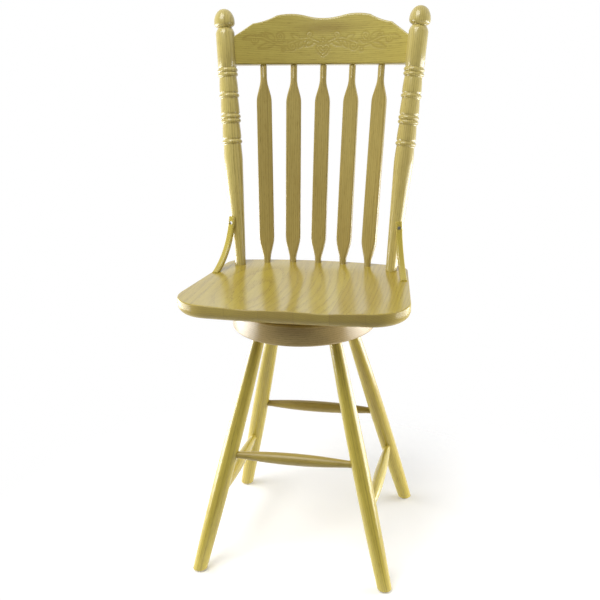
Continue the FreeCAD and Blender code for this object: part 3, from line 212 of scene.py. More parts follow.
OAK_SOCKETS = {
    "Grain": "Vector",
    "Pale": "Color",
    "Warm": "Color",
    "Dark": "Color",
    "Stave": "Float",
    "Ring": "Float",
}
SURFACE_SOCKETS = {"Color": "Color", "Roughness": "Float", "Height": "Float"}
STAVE_SHIFT = (0.05, 0.03, 2.0)
STAVE_CONTRAST = 0.45
SWAY_STRETCH = (9.0, 9.0, 1.5)
SWAY_REACH = (0.014, 0.014, 0.0)
NOISE_MIDDLE = (0.5, 0.5, 0.5)
PITH = (0.062, 0.021)
EARLY_WOOD = (0.0, 0.5)
YEAR_END = (0.9, 1.0)
EARLY_STAIN = 0.2
FIBRE_STRETCH = (520.0, 520.0, 16.0)
FIBRE_RANGE = (0.42, 0.72)
FIBRE_STAIN = 0.26
FIBRE_RELIEF = 0.2
PORE_STRETCH = (1500.0, 1500.0, 70.0)
PORE_RANGE = (0.55, 0.7)
PORE_STAIN = 0.55
PORE_SHADE = (0.5, 0.45, 0.4)
LATE_WOOD_PORES = 0.25
TONE_STRETCH = (16.0, 16.0, 3.0)
TONE_GAIN = 1.5
TONE_DROP = -0.5
JOINT_WIDTH = (0.0001, 0.0005)
JOINT_STAIN = 0.5
PLAIN_ROUGHNESS = 0.3
ROUGHENING = 0.14


def oak_figure():
    """Oak as it is sawn: growth rings about the pith, pores in the early wood, fibres and glued staves.

    The ring a point lies in is its distance from the pith over the ring's width, bent by slow noise,
    and the pores are fine noise stretched along the fibres, thickest where each ring begins. Lengths
    are in metres.
    """
    tree, given, result = shader_group("oak_figure", OAK_SOCKETS, SURFACE_SOCKETS)
    across = node(tree, "SeparateXYZ", {0: given["Grain"]}).outputs["X"]
    staves = reckon(tree, "DIVIDE", across, given["Stave"])
    stave = reckon(tree, "FLOOR", staves)
    lot = node(tree, "TexWhiteNoise", {"W": stave}, noise_dimensions="1D").outputs
    shift = reckon_vector(tree, "MULTIPLY", lot["Color"], STAVE_SHIFT)
    place = reckon_vector(tree, "ADD", given["Grain"], shift)

    sway = stretched_noise(tree, place, SWAY_STRETCH, detail=2.0)["Color"]
    centred = reckon_vector(tree, "SUBTRACT", sway, NOISE_MIDDLE)
    bent = reckon_vector(tree, "MULTIPLY_ADD", centred, SWAY_REACH, place)
    spot = node(tree, "SeparateXYZ", {0: bent}).outputs
    out_x = reckon(tree, "ADD", spot["X"], PITH[0])
    out_y = reckon(tree, "ADD", spot["Y"], PITH[1])
    squares = reckon(tree, "MULTIPLY_ADD", out_x, out_x, reckon(tree, "MULTIPLY", out_y, out_y))
    years = reckon(tree, "DIVIDE", reckon(tree, "SQRT", squares), given["Ring"])
    year = reckon(tree, "FRACT", years)
    early = reckon(tree, "ADD", ramp(tree, year, *EARLY_WOOD, 1.0, 0.0), ramp(tree, year, *YEAR_END))

    fibre = stretched_noise(tree, place, FIBRE_STRETCH, detail=3.0)[0]
    pits = stretched_noise(tree, place, PORE_STRETCH, detail=1.0)[0]
    tone = stretched_noise(tree, place, TONE_STRETCH, detail=2.0)[0]
    porous = reckon(tree, "MULTIPLY_ADD", early, 1 - LATE_WOOD_PORES, LATE_WOOD_PORES)
    pore = reckon(tree, "MULTIPLY", ramp(tree, pits, *PORE_RANGE), porous)
    from_edge = reckon(tree, "PINGPONG", reckon(tree, "FRACT", staves), 0.5)
    from_joint = reckon(tree, "MULTIPLY", from_edge, given["Stave"])
    joint = ramp(tree, from_joint, *JOINT_WIDTH, 1.0, 0.0)

    shade = reckon(tree, "MULTIPLY_ADD", tone, TONE_GAIN, TONE_DROP)
    warmth = reckon(tree, "MULTIPLY_ADD", lot["Value"], STAVE_CONTRAST, shade)
    plain = blend(tree, warmth, given["Pale"], given["Warm"])
    lines = ramp(tree, fibre, *FIBRE_RANGE, 0.0, FIBRE_STAIN)
    streaks = reckon(tree, "MULTIPLY_ADD", early, EARLY_STAIN, lines)
    figured = blend(tree, streaks, plain, given["Dark"])
    pore_marks = reckon(tree, "MULTIPLY", pore, PORE_STAIN)
    joint_marks = reckon(tree, "MULTIPLY", joint, JOINT_STAIN)
    marks = reckon(tree, "MAXIMUM", pore_marks, joint_marks)
    deep = reckon_vector(tree, "MULTIPLY", given["Dark"], PORE_SHADE)
    rough = reckon(tree, "MULTIPLY_ADD", fibre, ROUGHENING, PLAIN_ROUGHNESS)
    sunk = reckon(tree, "MAXIMUM", pore, joint)
    relief = reckon(tree, "MULTIPLY", fibre, FIBRE_RELIEF)
    tree.links.new(blend(tree, marks, figured, deep), result["Color"])
    tree.links.new(reckon(tree, "MULTIPLY_ADD", pore, ROUGHENING, rough), result["Roughness"])
    tree.links.new(reckon(tree, "SUBTRACT", relief, sunk), result["Height"])
    return tree


def surfaced(tree, figure, strength, depth):
    """Joins a group's colour, roughness and height to a material's shader, and returns the shader."""
    bump = node(tree, "Bump", {"Height": figure["Height"], "Strength": strength, "Distance": depth})
    shader = tree.nodes["Principled BSDF"]
    tree.links.new(figure["Color"], shader.inputs["Base Color"])
    tree.links.new(figure["Roughness"], shader.inputs["Roughness"])
    tree.links.new(bump.outputs["Normal"], shader.inputs["Normal"])
    return shader


OAK_FIGURE = oak_figure()
OAK_PALE = (0.58, 0.48, 0.085, 1)
OAK_WARM = (0.47, 0.362, 0.06, 1)
OAK_DARK = (0.25, 0.165, 0.03, 1)
WHOLE_BOARD = 40.0
RING_WIDTH = 0.0044
OAK_BUMP = 0.35
OAK_BUMP_DEPTH = 0.0002
GLOSS_UNDER_COAT = 0.08
COAT_ROUGHNESS = 0.2


def varnished_oak(
    name, pale=OAK_PALE, warm=OAK_WARM, stave=WHOLE_BOARD, turn=None, coat_roughness=COAT_ROUGHNESS
):
    """Oak under two coats of clear gloss varnish.

    The figure follows the piece's own grain attribute or, on a solid, its place turned so that Z
    runs along the fibres.
    """
    material = bpy.data.materials.new(name)
    material.use_nodes = True
    tree = material.node_tree
    if turn is None:
        grain = node(tree, "Attribute", attribute_name="grain").outputs["Vector"]
    else:
        place = node(tree, "TexCoord").outputs["Object"]
        grain = node(tree, "Mapping", {"Vector": place, "Rotation": turn}).outputs[0]
    board_inputs = {"Grain": grain, "Stave": stave, "Ring": RING_WIDTH}
    colour_inputs = {"Pale": pale, "Warm": warm, "Dark": OAK_DARK}
    figure = node(tree, "Group", board_inputs | colour_inputs, node_tree=OAK_FIGURE)
    shader = surfaced(tree, figure.outputs, OAK_BUMP, OAK_BUMP_DEPTH)
    shader.inputs["Specular IOR Level"].default_value = GLOSS_UNDER_COAT
    shader.inputs["Coat Weight"].default_value = 1.0
    shader.inputs["Coat Roughness"].default_value = coat_roughness
    return material


def mark(piece, name, values):
    """Stores one value for each point of a piece."""
    marks = piece.data.attributes.new(name, "FLOAT", "POINT")
    marks.data.foreach_set("value", values.reshape(-1).astype(np.float32))


def stain_and_shade(material, attribute, share, colour):
    """Mixes a share of a second colour into an oak where an attribute of the piece is high.

    It serves for real stains and for painted shade.
    """
    tree = material.node_tree
    shader = tree.nodes["Principled BSDF"]
    plain = shader.inputs["Base Color"].links[0].from_socket
    amount = node(tree, "Attribute", attribute_name=attribute).outputs["Fac"]
    mixed = blend(tree, reckon(tree, "MULTIPLY", amount, share), plain, colour)
    tree.links.new(mixed, shader.inputs["Base Color"])


def fit(piece, material, body, *stands_for):
    """Gives a piece its finish, the body it moves with and the solids that it stands for."""
    piece.data.materials.append(material)
    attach(piece, body)
    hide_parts(*stands_for)


leg_oak = varnished_oak("leg_oak")
leg_length = np.linalg.norm(LEG_SHOULDER - LEG_FOOT)
leg_foot = (LEG_FOOT_RADIUS, 0)
leg_swell = (LEG_SWELL_RADIUS, LEG_SWELL_HEIGHT)
leg_shoulder = (LEG_TOP_RADIUS, leg_length)
leg_profile = np.vstack(
    [
        np.add(FOOT_EDGE, leg_foot),
        arc(leg_foot, leg_swell, leg_shoulder, LEG_STEPS)[1:],
        [(LEG_TOP_RADIUS, leg_length + LEG_IN_BLOCK)],
    ]
)
for number, (corner, mirror) in enumerate(CORNERS.items()):
    rings, grain = turned(leg_profile, LEG_FOOT * mirror, LEG_SHOULDER * mirror, FOOT_LEVEL)
    leg = skin(f"{corner}_leg_turning", rings, grain + board(number))
    fit(leg, leg_oak, "base", f"{corner}_leg")

# Stretchers: four swelled oak rungs, turned, with straight ends glued into the legs. The pair at
# front and rear is coloured darker than the legs and set higher than the pair at the sides, so that
# the holes do not meet, and shoes have rubbed its varnish dull.
STRETCHER_END_RADIUS = 7.5
STRETCHER_SWELL_RADIUS = 13.0
STRETCHER_END_LENGTH = 30.0
STRETCHER_PAST_AXIS = 4.0
STRETCHER_STEPS = 60
STRETCHER_BOARD = 5
FRONT_REAR_HEIGHT = 257.0
SIDE_HEIGHT = 160.0


def leg_axis(height):
    """The spread of a leg's axis at a height: its share of the way from foot to shoulder."""
    return LEG_FOOT + (LEG_SHOULDER - LEG_FOOT) * height / LEG_SHOULDER[2]


rubbed_oak = varnished_oak(
    "rubbed_oak", pale=(0.45, 0.35, 0.08, 1), warm=(0.36, 0.265, 0.055, 1), coat_roughness=0.4
)
stretcher_lines = (
    ("front_stretcher", rubbed_oak, leg_axis(FRONT_REAR_HEIGHT), (0, -1, 1), (1, 0, 0)),
    ("rear_stretcher", rubbed_oak, leg_axis(FRONT_REAR_HEIGHT), (0, 1, 1), (1, 0, 0)),
    ("left_stretcher", leg_oak, leg_axis(SIDE_HEIGHT), (-1, 0, 1), (0, 1, 0)),
    ("right_stretcher", leg_oak, leg_axis(SIDE_HEIGHT), (1, 0, 1), (0, 1, 0)),
)
for number, (name, oak, spread, sides, run) in enumerate(stretcher_lines):
    half = spread @ np.array(run) + STRETCHER_PAST_AXIS
    swell = half - STRETCHER_END_LENGTH
    swell_start = (STRETCHER_END_RADIUS, -swell)
    swell_end = (STRETCHER_END_RADIUS, swell)
    profile = np.vstack(
        [
            [(STRETCHER_END_RADIUS, -half)],
            arc(swell_start, (STRETCHER_SWELL_RADIUS, 0), swell_end, STRETCHER_STEPS),
            [(STRETCHER_END_RADIUS, half)],
        ]
    )
    middle = spread * sides
    rings, grain = turned(profile, middle, middle + np.array(run))
    stretcher = skin(f"{name}_turning", rings, grain + board(STRETCHER_BOARD + number))
    fit(stretcher, oak, "base", name)

# Glides: white nylon buttons under the feet, each held by one plated nail driven up into the leg.
# The nylon is moulded, so it is faintly mottled and scuffed by the floor.
WORN_SOCKETS = {"Clean": "Color", "Dull": "Color", "Coarse": "Float", "Smooth": "Float", "Rough": "Float"}
MOTTLE_RANGE = (0.35, 0.68)
GRIT_FINENESS = 9.0
GRIT_SHARE = 0.5
WEAR_RANGE = (0.3, 0.7)
WEAR_BUMP = 0.3


def worn_surface():
    """Mottling and wear: coarse noise shades between two colours, and fine noise roughens."""
    tree, given, result = shader_group("worn_surface", WORN_SOCKETS, SURFACE_SOCKETS)
    place = node(tree, "TexCoord").outputs["Object"]
    mottle = node(tree, "TexNoise", {"Vector": place, "Scale": given["Coarse"], "Detail": 3.0}).outputs[0]
    fine = reckon(tree, "MULTIPLY", given["Coarse"], GRIT_FINENESS)
    grit = node(tree, "TexNoise", {"Vector": place, "Scale": fine, "Detail": 2.0}).outputs[0]
    color = blend(tree, ramp(tree, mottle, *MOTTLE_RANGE), given["Clean"], given["Dull"])
    gritty = reckon(tree, "MULTIPLY", grit, GRIT_SHARE)
    wear = reckon(tree, "MULTIPLY_ADD", mottle, 1 - GRIT_SHARE, gritty)
    spread = reckon(tree, "SUBTRACT", given["Rough"], given["Smooth"])
    rough = reckon(tree, "MULTIPLY_ADD", ramp(tree, wear, *WEAR_RANGE), spread, given["Smooth"])
    tree.links.new(color, result["Color"])
    tree.links.new(rough, result["Roughness"])
    tree.links.new(grit, result["Height"])
    return tree


WORN_SURFACE = worn_surface()


def worn(name, clean, dull, coarse, smooth, rough, metal, bump_depth):
    """A hard material whose colour and gloss wander over the surface."""
    material = bpy.data.materials.new(name)
    material.use_nodes = True
    tree = material.node_tree
    inputs = {"Clean": clean, "Dull": dull, "Coarse": coarse, "Smooth": smooth, "Rough": rough}
    wear = node(tree, "Group", inputs, node_tree=WORN_SURFACE)
    shader = surfaced(tree, wear.outputs, WEAR_BUMP, bump_depth)
    shader.inputs["Metallic"].default_value = metal
    return material


def finish_solids(material, *names):
    """Puts a finish on solids that are shown as they are."""
    for name in names:
        solids[name].material_slots[0].material = material


nylon = worn(
    "glide_nylon",
    clean=(0.72, 0.7, 0.62, 1),
    dull=(0.58, 0.55, 0.47, 1),
    coarse=260.0,
    smooth=0.38,
    rough=0.6,
    metal=0.0,
    bump_depth=0.0001,
)
zinc = worn(
    "zinc_plate",
    clean=(0.62, 0.63, 0.64, 1),
    dull=(0.47, 0.47, 0.45, 1),
    coarse=70.0,
    smooth=0.24,
    rough=0.45,
    metal=1.0,
    bump_depth=0.00005,
)
finish_solids(nylon, *(f"{corner}_glide" for corner in CORNERS))
finish_solids(zinc, "glide_nails")

# Leg block: a thick disc of oak staves glued edge to edge, turned round, its edges eased and
# varnished. The four legs are glued into it from below.
FIBRES_ACROSS = (0, np.pi / 2, 0)
BLOCK_STAVE = 0.062
block_oak = varnished_oak(
    "block_oak",
    pale=(0.55, 0.42, 0.18, 1),
    warm=(0.45, 0.32, 0.14, 1),
    stave=BLOCK_STAVE,
    turn=FIBRES_ACROSS,
)
finish_solids(block_oak, "leg_block")

# Swivel: two pressed plates, plated with zinc and screwed to the block and to the seat. Steel balls
# in a plain steel cage roll between them, and a hollow rivet holds the plates together.
bare_steel = worn(
    "bare_steel",
    clean=(0.5, 0.49, 0.47, 1),
    dull=(0.36, 0.33, 0.29, 1),
    coarse=120.0,
    smooth=0.3,
    rough=0.5,
    metal=1.0,
    bump_depth=0.00005,
)
ball_steel = worn(
    "ball_steel",
    clean=(0.66, 0.66, 0.66, 1),
    dull=(0.58, 0.57, 0.55, 1),
    coarse=300.0,
    smooth=0.08,
    rough=0.16,
    metal=1.0,
    bump_depth=0.00001,
)
for level in ("lower", "upper"):
    finish_solids(zinc, f"{level}_swivel_plate", f"{level}_plate_screws")
finish_solids(bare_steel, "swivel_rivet", "ball_cage")
finish_solids(ball_steel, "bearing_balls")

# Seat: oak staves glued into one board, with bowed front and rear edges, a bullnosed lower edge and
# two shallow thigh hollows sawn and sanded into the top. The edge has drunk in its varnish, so it is
# duller, and greyer at the end grain. The seat is screwed to the upper plate.
SEAT_TOP = 610.0
SEAT_THICKNESS = 32.0
SEAT_FRONT = np.array([250.5, -181.0])
SEAT_REAR = np.array([205.5, 150.0])
FRONT_BOW = 13.0
REAR_BOW = 22.0
FRONT_CORNER = 75.0
REAR_CORNER = 40.0
FRONT_STEPS = 30
FRONT_CORNER_STEPS = 16
SIDE_STEPS = 26
REAR_CORNER_STEPS = 14
REAR_STEPS = 26
TOP_EASE = 2.5
BULLNOSE = 18.0
EASE_STEPS = 8
EDGE_RINGS = 2
TOP_RINGS = 70
TOP_MIDDLE = 0.004
UNDER_SHARES = np.array([0.01, 0.5])
HOLLOW_X = 75.0
HOLLOW_Y = -56.0
HOLLOW_WIDTH = 240.0
HOLLOW_LENGTH = 340.0
HOLLOW_DEPTH = 7.0
HOLLOW_LIFT = 6.0
HOLLOW_SOFTNESS = 0.7
SEAT_STAVE = 0.071
SEAT_BOARD = 11
END_GRAIN = (0.4, 0.32, 0.25, 1)
END_GRAIN_SHARE = 0.25
EDGE_COAT = 0.3


def spokes(centre, radius, start, end, count):
    """Points of an arc about a centre between two directions, and the outward direction at each."""
    first = np.arctan2(start[1], start[0])
    turn = np.linspace(first, first + np.angle(complex(*end) / complex(*start)), count)
    outward = np.stack([np.cos(turn), np.sin(turn)], axis=1)
    return centre + radius * outward, outward


def corner_centre(corner, radius, inward, run, bow_centre, bow_radius):
    """The centre of a corner's circle, as far inside the seat's side as inside its bowed edge.

    It lies on the line beside the side, one radius inside it, where its distance from the bow's
    centre is the bow's radius less its own.
    """
    start = corner + inward * radius - bow_centre
    reach = start @ run
    slide = np.sqrt(reach**2 - start @ start + (bow_radius - radius) ** 2)
    return bow_centre + start - run * (reach + slide)


def seat_outline():
    """The seat's edge seen from above, anticlockwise from the middle of the front, with outward normals.

    Front and rear are arcs whose radius comes from their width and bow, the sides are straight, and a
    circle rounds each corner. One half is worked out, and the other is its mirror image.
    """
    front_bend = (SEAT_FRONT[0] ** 2 + FRONT_BOW**2) / (2 * FRONT_BOW)
    rear_bend = (SEAT_REAR[0] ** 2 + REAR_BOW**2) / (2 * REAR_BOW)
    front_centre = np.array([0, SEAT_FRONT[1] - FRONT_BOW + front_bend])
    rear_centre = np.array([0, SEAT_REAR[1] + REAR_BOW - rear_bend])
    run = (SEAT_REAR - SEAT_FRONT) / np.linalg.norm(SEAT_REAR - SEAT_FRONT)
    inward = np.array([-run[1], run[0]])
    front_corner = corner_centre(SEAT_FRONT, FRONT_CORNER, inward, run, front_centre, front_bend)
    rear_corner = corner_centre(SEAT_REAR, REAR_CORNER, inward, -run, rear_centre, rear_bend)
    side_start = front_corner - inward * FRONT_CORNER
    side_end = rear_corner - inward * REAR_CORNER
    side = side_start + (side_end - side_start) * np.linspace(0, 1, SIDE_STEPS)[:, None]
    to_front = front_corner - front_centre
    to_rear = rear_corner - rear_centre
    parts = (
        spokes(front_centre, front_bend, (0, -1), to_front, FRONT_STEPS),
        spokes(front_corner, FRONT_CORNER, to_front, -inward, FRONT_CORNER_STEPS),
        (side, np.repeat([-inward], SIDE_STEPS, axis=0)),
        spokes(rear_corner, REAR_CORNER, -inward, to_rear, REAR_CORNER_STEPS),
        spokes(rear_centre, rear_bend, to_rear, (0, 1), REAR_STEPS),
    )
    edge = np.vstack([parts[0][0]] + [points[1:] for points, normals in parts[1:]])
    outward = np.vstack([parts[0][1]] + [normals[1:] for points, normals in parts[1:]])
    mirror = np.array([-1, 1])
    return np.vstack([edge, edge[-2:0:-1] * mirror]), np.vstack([outward, outward[-2:0:-1] * mirror])


def hollow_depth(x, y):
    """How far the seat's top lies below its rim: two caps of ellipsoids, joined and run out softly."""
    rim = np.sqrt(1 - (HOLLOW_LIFT / (HOLLOW_LIFT + 1)) ** 2)
    half_width = HOLLOW_WIDTH / 2 / rim
    half_length = HOLLOW_LENGTH / 2 / rim
    depths = []
    for side in (-1, 1):
        away = ((x - side * HOLLOW_X) / half_width) ** 2 + ((y - HOLLOW_Y) / half_length) ** 2
        cap = (HOLLOW_LIFT + 1) * np.sqrt(np.maximum(1 - away, 0)) - HOLLOW_LIFT
        depths.append(HOLLOW_DEPTH * cap / HOLLOW_SOFTNESS)
    return HOLLOW_SOFTNESS * np.logaddexp(0, np.logaddexp(*depths))


edge, outward = seat_outline()
seat_bottom = SEAT_TOP - SEAT_THICKNESS
bend = np.linspace(0, np.pi / 2, EASE_STEPS)
edge_start = seat_bottom + BULLNOSE
edge_end = SEAT_TOP - TOP_EASE
inset = np.concatenate(
    [BULLNOSE * (1 - np.sin(bend)), np.zeros(EDGE_RINGS), TOP_EASE * (1 - np.cos(bend))]
)
lift = np.concatenate(
    [
        seat_bottom + BULLNOSE * (1 - np.cos(bend)),
        np.linspace(edge_start, edge_end, EDGE_RINGS + 2)[1:-1],
        edge_end + TOP_EASE * np.sin(bend),
    ]
)
rim = edge - inset[:, None, None] * outward
top = rim[-1] * np.linspace(1, TOP_MIDDLE, TOP_RINGS)[1:, None, None]
under = rim[:1] * UNDER_SHARES[:, None, None]
plan = np.vstack([under, rim, top])
height = np.concatenate([[seat_bottom] * len(under), lift, [SEAT_TOP] * len(top)])
below_ease = np.zeros(len(under) + len(rim) - EASE_STEPS)
on_top = np.concatenate([below_ease, np.sin(bend), np.ones(len(top))])
height = height[:, None] - on_top[:, None] * hollow_depth(plan[..., 0], plan[..., 1])
rings = np.concatenate([plan, height[..., None]], axis=-1)
seat = skin("seat_board", rings, rings[..., [0, 2, 1]] + board(SEAT_BOARD))
seat_oak = varnished_oak(
    "seat_oak", pale=(0.51, 0.4, 0.051, 1), warm=(0.415, 0.3, 0.035, 1), stave=SEAT_STAVE
)
upright = np.concatenate(
    [np.zeros(len(under)), np.sin(bend), np.ones(EDGE_RINGS), np.cos(bend), np.zeros(len(top))]
)
mark(seat, "end_grain", upright[:, None] * np.abs(outward[:, 1]))
stain_and_shade(seat_oak, "end_grain", END_GRAIN_SHARE, END_GRAIN)
mark(seat, "edge", np.broadcast_to(upright[:, None], rings.shape[:2]))
tree = seat_oak.node_tree
on_edge = node(tree, "Attribute", attribute_name="edge").outputs["Fac"]
gloss = reckon(tree, "MULTIPLY_ADD", on_edge, EDGE_COAT - 1, 1.0)
tree.links.new(gloss, tree.nodes["Principled BSDF"].inputs["Coat Weight"])
fit(seat, seat_oak, "seat_and_back", "seat")

# Slats: five arrow slats of oak, round at both ends and flat between, glued into the seat and up
# into the crest rail. They fan out upwards and stand on one curve, swept round the sitter's back.
SLAT_COUNT = 5
SLAT_SEAT_Y = 156.0
CREST_Y = 250.98
CREST_BOTTOM = 1043.0
BACK_CURVE = 455.0
SLAT_SEAT_PITCH = 58.0
SLAT_CREST_PITCH = 67.0
SLAT_HALF_WIDTH = 17.0
SLAT_HALF_THICKNESS = 6.0
SLAT_NECK_RADIUS = 7.5
SLAT_EDGE = 3.0
SLAT_IN_SEAT = 12.0
SLAT_IN_CREST = 16.0
LOWER_NECK = 10.0
LOWER_FLARE = 40.0
UPPER_NECK = 40.0
UPPER_FLARE = 36.0
FLARE_REACH = np.linspace(-9, 9, 19)
SLAT_STEPS = 170
SLAT_CORNER_STEPS = 6
SLAT_SIDE_STEPS = (6, 3, 6, 3)
SLAT_BOARD = 13
BACK_LEAN = np.arctan2(CREST_Y - SLAT_SEAT_Y, CREST_BOTTOM - SEAT_TOP)


def rounded_section(half_u, half_v, radius, per_corner, per_side):
    """Rings of rounded rectangles, one for each half width, half height and corner radius.

    Anticlockwise from +u: a corner is its circle's middle plus the radius times (cos, sin), and each
    straight side after it is divided into its own number of points, closer together at its ends.
    """
    quarter = np.linspace(0, np.pi / 2, per_corner)
    corners = []
    for corner, (side_u, side_v) in enumerate(((1, 1), (-1, 1), (-1, -1), (1, -1))):
        angle = quarter + corner * np.pi / 2
        u = side_u * (half_u - radius)[:, None] + radius[:, None] * np.cos(angle)
        v = side_v * (half_v - radius)[:, None] + radius[:, None] * np.sin(angle)
        corners.append(np.stack([u, v], axis=-1))
    whole = []
    for corner, points in enumerate(corners):
        start = points[:, -1:]
        end = corners[(corner + 1) % len(corners)][:, :1]
        way = np.linspace(0, 1, per_side[corner] + 2)[1:-1]
        way = (way - np.sin(2 * np.pi * way) / (4 * np.pi))[:, None]
        whole += [points, start + (end - start) * way]
    return np.concatenate(whole, axis=1)


def sweep_drop(x):
    """How far the back's curve has come forward at a distance from the middle."""
    return BACK_CURVE - np.sqrt(BACK_CURVE**2 - x**2)


def leaned(points):
    """Points of the crest rail's own frame, leaned back and set on top of the slats."""
    cosine = np.cos(BACK_LEAN)
    sine = np.sin(BACK_LEAN)
    turn = np.array([[1, 0, 0], [0, cosine, sine], [0, -sine, cosine]])
    return points @ turn.T + np.array([0, CREST_Y, CREST_BOTTOM])


def flared(distance, marks, neck, middle):
    """A size along a slat: its neck's, then its middle's, then its neck's again.

    The straight tapers between the marks have their corners rounded, by averaging over a short reach.
    """
    sizes = (neck, middle, middle, neck)
    return np.interp(distance[:, None] + FLARE_REACH, marks, sizes).mean(axis=1)


slat_oak = varnished_oak("slat_oak", pale=(0.495, 0.395, 0.12, 1), warm=(0.4, 0.3, 0.087, 1))
for number in range(SLAT_COUNT):
    offset = number - SLAT_COUNT // 2
    seat_x = offset * SLAT_SEAT_PITCH
    crest_x = offset * SLAT_CREST_PITCH
    foot = np.array([seat_x, SLAT_SEAT_Y - sweep_drop(seat_x), SEAT_TOP])
    head = leaned(np.array([crest_x, -sweep_drop(crest_x), 0.0]))
    length = np.linalg.norm(head - foot)
    along = (head - foot) / length
    facing = np.arcsin((seat_x + crest_x) / 2 / BACK_CURVE)
    across = np.array([np.cos(facing), -np.sin(facing), 0])
    across = across - along * (across @ along)
    across = across / np.linalg.norm(across)
    through = np.cross(along, across)
    distance = np.linspace(-SLAT_IN_SEAT, length + SLAT_IN_CREST, SLAT_STEPS)
    upper = length - UPPER_NECK
    marks = (LOWER_NECK, LOWER_NECK + LOWER_FLARE, upper - UPPER_FLARE, upper)
    half_width = flared(distance, marks, SLAT_NECK_RADIUS, SLAT_HALF_WIDTH)
    half_depth = flared(distance, marks, SLAT_NECK_RADIUS, SLAT_HALF_THICKNESS)
    edge_round = flared(distance, marks, SLAT_NECK_RADIUS, SLAT_EDGE)
    edge_round = np.minimum(edge_round, np.minimum(half_width, half_depth))
    section = rounded_section(half_width, half_depth, edge_round, SLAT_CORNER_STEPS, SLAT_SIDE_STEPS)
    up = distance[:, None, None]
    rings = foot + up * along + section[..., :1] * across + section[..., 1:] * through
    grain = np.concatenate([section, np.broadcast_to(up, section[..., :1].shape)], axis=-1)
    slat = skin(f"back_slat_{number + 1}_board", rings, grain + board(SLAT_BOARD + number))
    fit(slat, slat_oak, "seat_and_back", f"back_slat_{number + 1}")

# Crest rail: a bent oak board sawn to a wavy top edge, with a traditional scroll-and-leaf ornament
# pressed into its face. Painted shade darkens the pressed ground round the ornament and a soft patch
# across the middle under the top edge. Its ends are housed in the posts, and the slats are glued up
# into it.
CREST_END = 203.97
CREST_THICKNESS = 24.0
CREST_EASE = 4.0
HUMP_X = 72.0
HUMP_HEIGHT = 110.0
HUMP_HALF_WIDTH = 34.0
DIP_DEPTH = 9.0
DIP_HALF_WAY = 0.875
SHOULDER_X = 156.0
SHOULDER_HEIGHT = 86.0
SHOULDER_SAG = 2.4
END_HEIGHT = 48.3
END_DROP = 7.0
DIP_STEPS = 30
HUMP_STEPS = 40
CREST_STEPS = 600
CREST_CORNER_STEPS = 6
FACE_ROWS = 96
CREST_SIDE_STEPS = (4, FACE_ROWS, 4, 14)
CREST_BOARD = 19
PRESSED_DEPTH = 0.25
RAISED_SHARE = 0.95
GROUND_REACH = 5.5
GROUND_SLOPE = 3.5
STEM_START = 13.0
STEM_END = 152.0
STEM_HEIGHT = 48.0
STEM_WAVE = 7.0
STEM_PERIOD = 104.0
STEM_STEPS = 50
STEM_WIDTH = 1.5
HEART_WIDTH = 1.3
LEAF_FULLNESS = 0.75
LEAF_LEAST_WIDTH = 0.01
VEIN_DEPTH = 0.45
VEIN_WIDTH = 0.7
SCROLL_STEPS = 34
SCROLL_SHRINK = 0.86
BEAD_SIZE = 2.1
BEAD_RUN = 0.01
# Painted shade on the crest rail: a soft dark patch under the middle of the top edge, and the darkened
# pressed ground.
SHADE_PATCH_REACH = (70.0, 13.0)
SHADE_PATCH_PLACE = (8.0, 79.0)
GROUND_SHADE = 0.55
CREST_SHADE_SHARE = 0.55


def crest_top(x):
    """The rail's top edge: straight sloping ends, then arcs by three points over shoulder, hump and dip."""
    turn_height = HUMP_HEIGHT - DIP_DEPTH / 2
    outer = (HUMP_X + HUMP_HALF_WIDTH, turn_height)
    inner = (HUMP_X - HUMP_HALF_WIDTH, turn_height)
    middle = (0, HUMP_HEIGHT - DIP_DEPTH)
    half_way = (inner[0] / 2, HUMP_HEIGHT - DIP_DEPTH * DIP_HALF_WAY)
    sag = ((outer[0] + SHOULDER_X) / 2, (turn_height + SHOULDER_HEIGHT) / 2 - SHOULDER_SAG)
    dip = arc(middle, half_way, inner, DIP_STEPS)
    hump = arc(inner, (HUMP_X, HUMP_HEIGHT), outer, HUMP_STEPS)
    shoulder = arc(outer, sag, (SHOULDER_X, SHOULDER_HEIGHT), DIP_STEPS)
    line = np.vstack([dip, hump[1:], shoulder[1:], [(CREST_END, END_HEIGHT)]])
    return np.interp(np.abs(x), line[:, 0], line[:, 1])


def crest_bottom(x):
    """The rail's lower edge: one arc that falls from the middle to the lower corners."""
    edge_bend = (CREST_END**2 + END_DROP**2) / (2 * END_DROP)
    return np.sqrt(edge_bend**2 - x**2) - edge_bend


def stroke(x, height, line, half_width):
    """A round-topped raised line: its height falls as a half ellipse with distance from the line."""
    gap = np.full(x.shape, np.inf)
    for start, end in zip(line[:-1], line[1:]):
        run = end - start
        share = np.clip(((x - start[0]) * run[0] + (height - start[1]) * run[1]) / (run @ run), 0, 1)
        gap = np.minimum(gap, np.hypot(x - start[0] - share * run[0], height - start[1] - share * run[1]))
    return np.sqrt(np.maximum(1 - (gap / half_width) ** 2, 0)), gap - half_width


def leaf(x, height, base, tip, half_width):
    """A raised leaf between two points, widest near its base, with a groove along its middle."""
    run = np.subtract(tip, base)
    length = np.hypot(*run)
    along = ((x - base[0]) * run[0] + (height - base[1]) * run[1]) / length**2
    aside = np.abs((x - base[0]) * run[1] - (height - base[1]) * run[0]) / length
    swell = np.sin(np.pi * np.clip(along, 0, 1) ** LEAF_FULLNESS)
    width = half_width * swell + LEAF_LEAST_WIDTH
    body = np.sqrt(np.maximum(1 - (aside / width) ** 2, 0)) * ((along > 0) & (along < 1))
    beyond = np.maximum(np.maximum(-along, along - 1), 0) * length
    vein = 1 - VEIN_DEPTH * np.exp(-((aside / VEIN_WIDTH) ** 2))
    return body * vein, np.hypot(np.maximum(aside - width, 0), beyond)


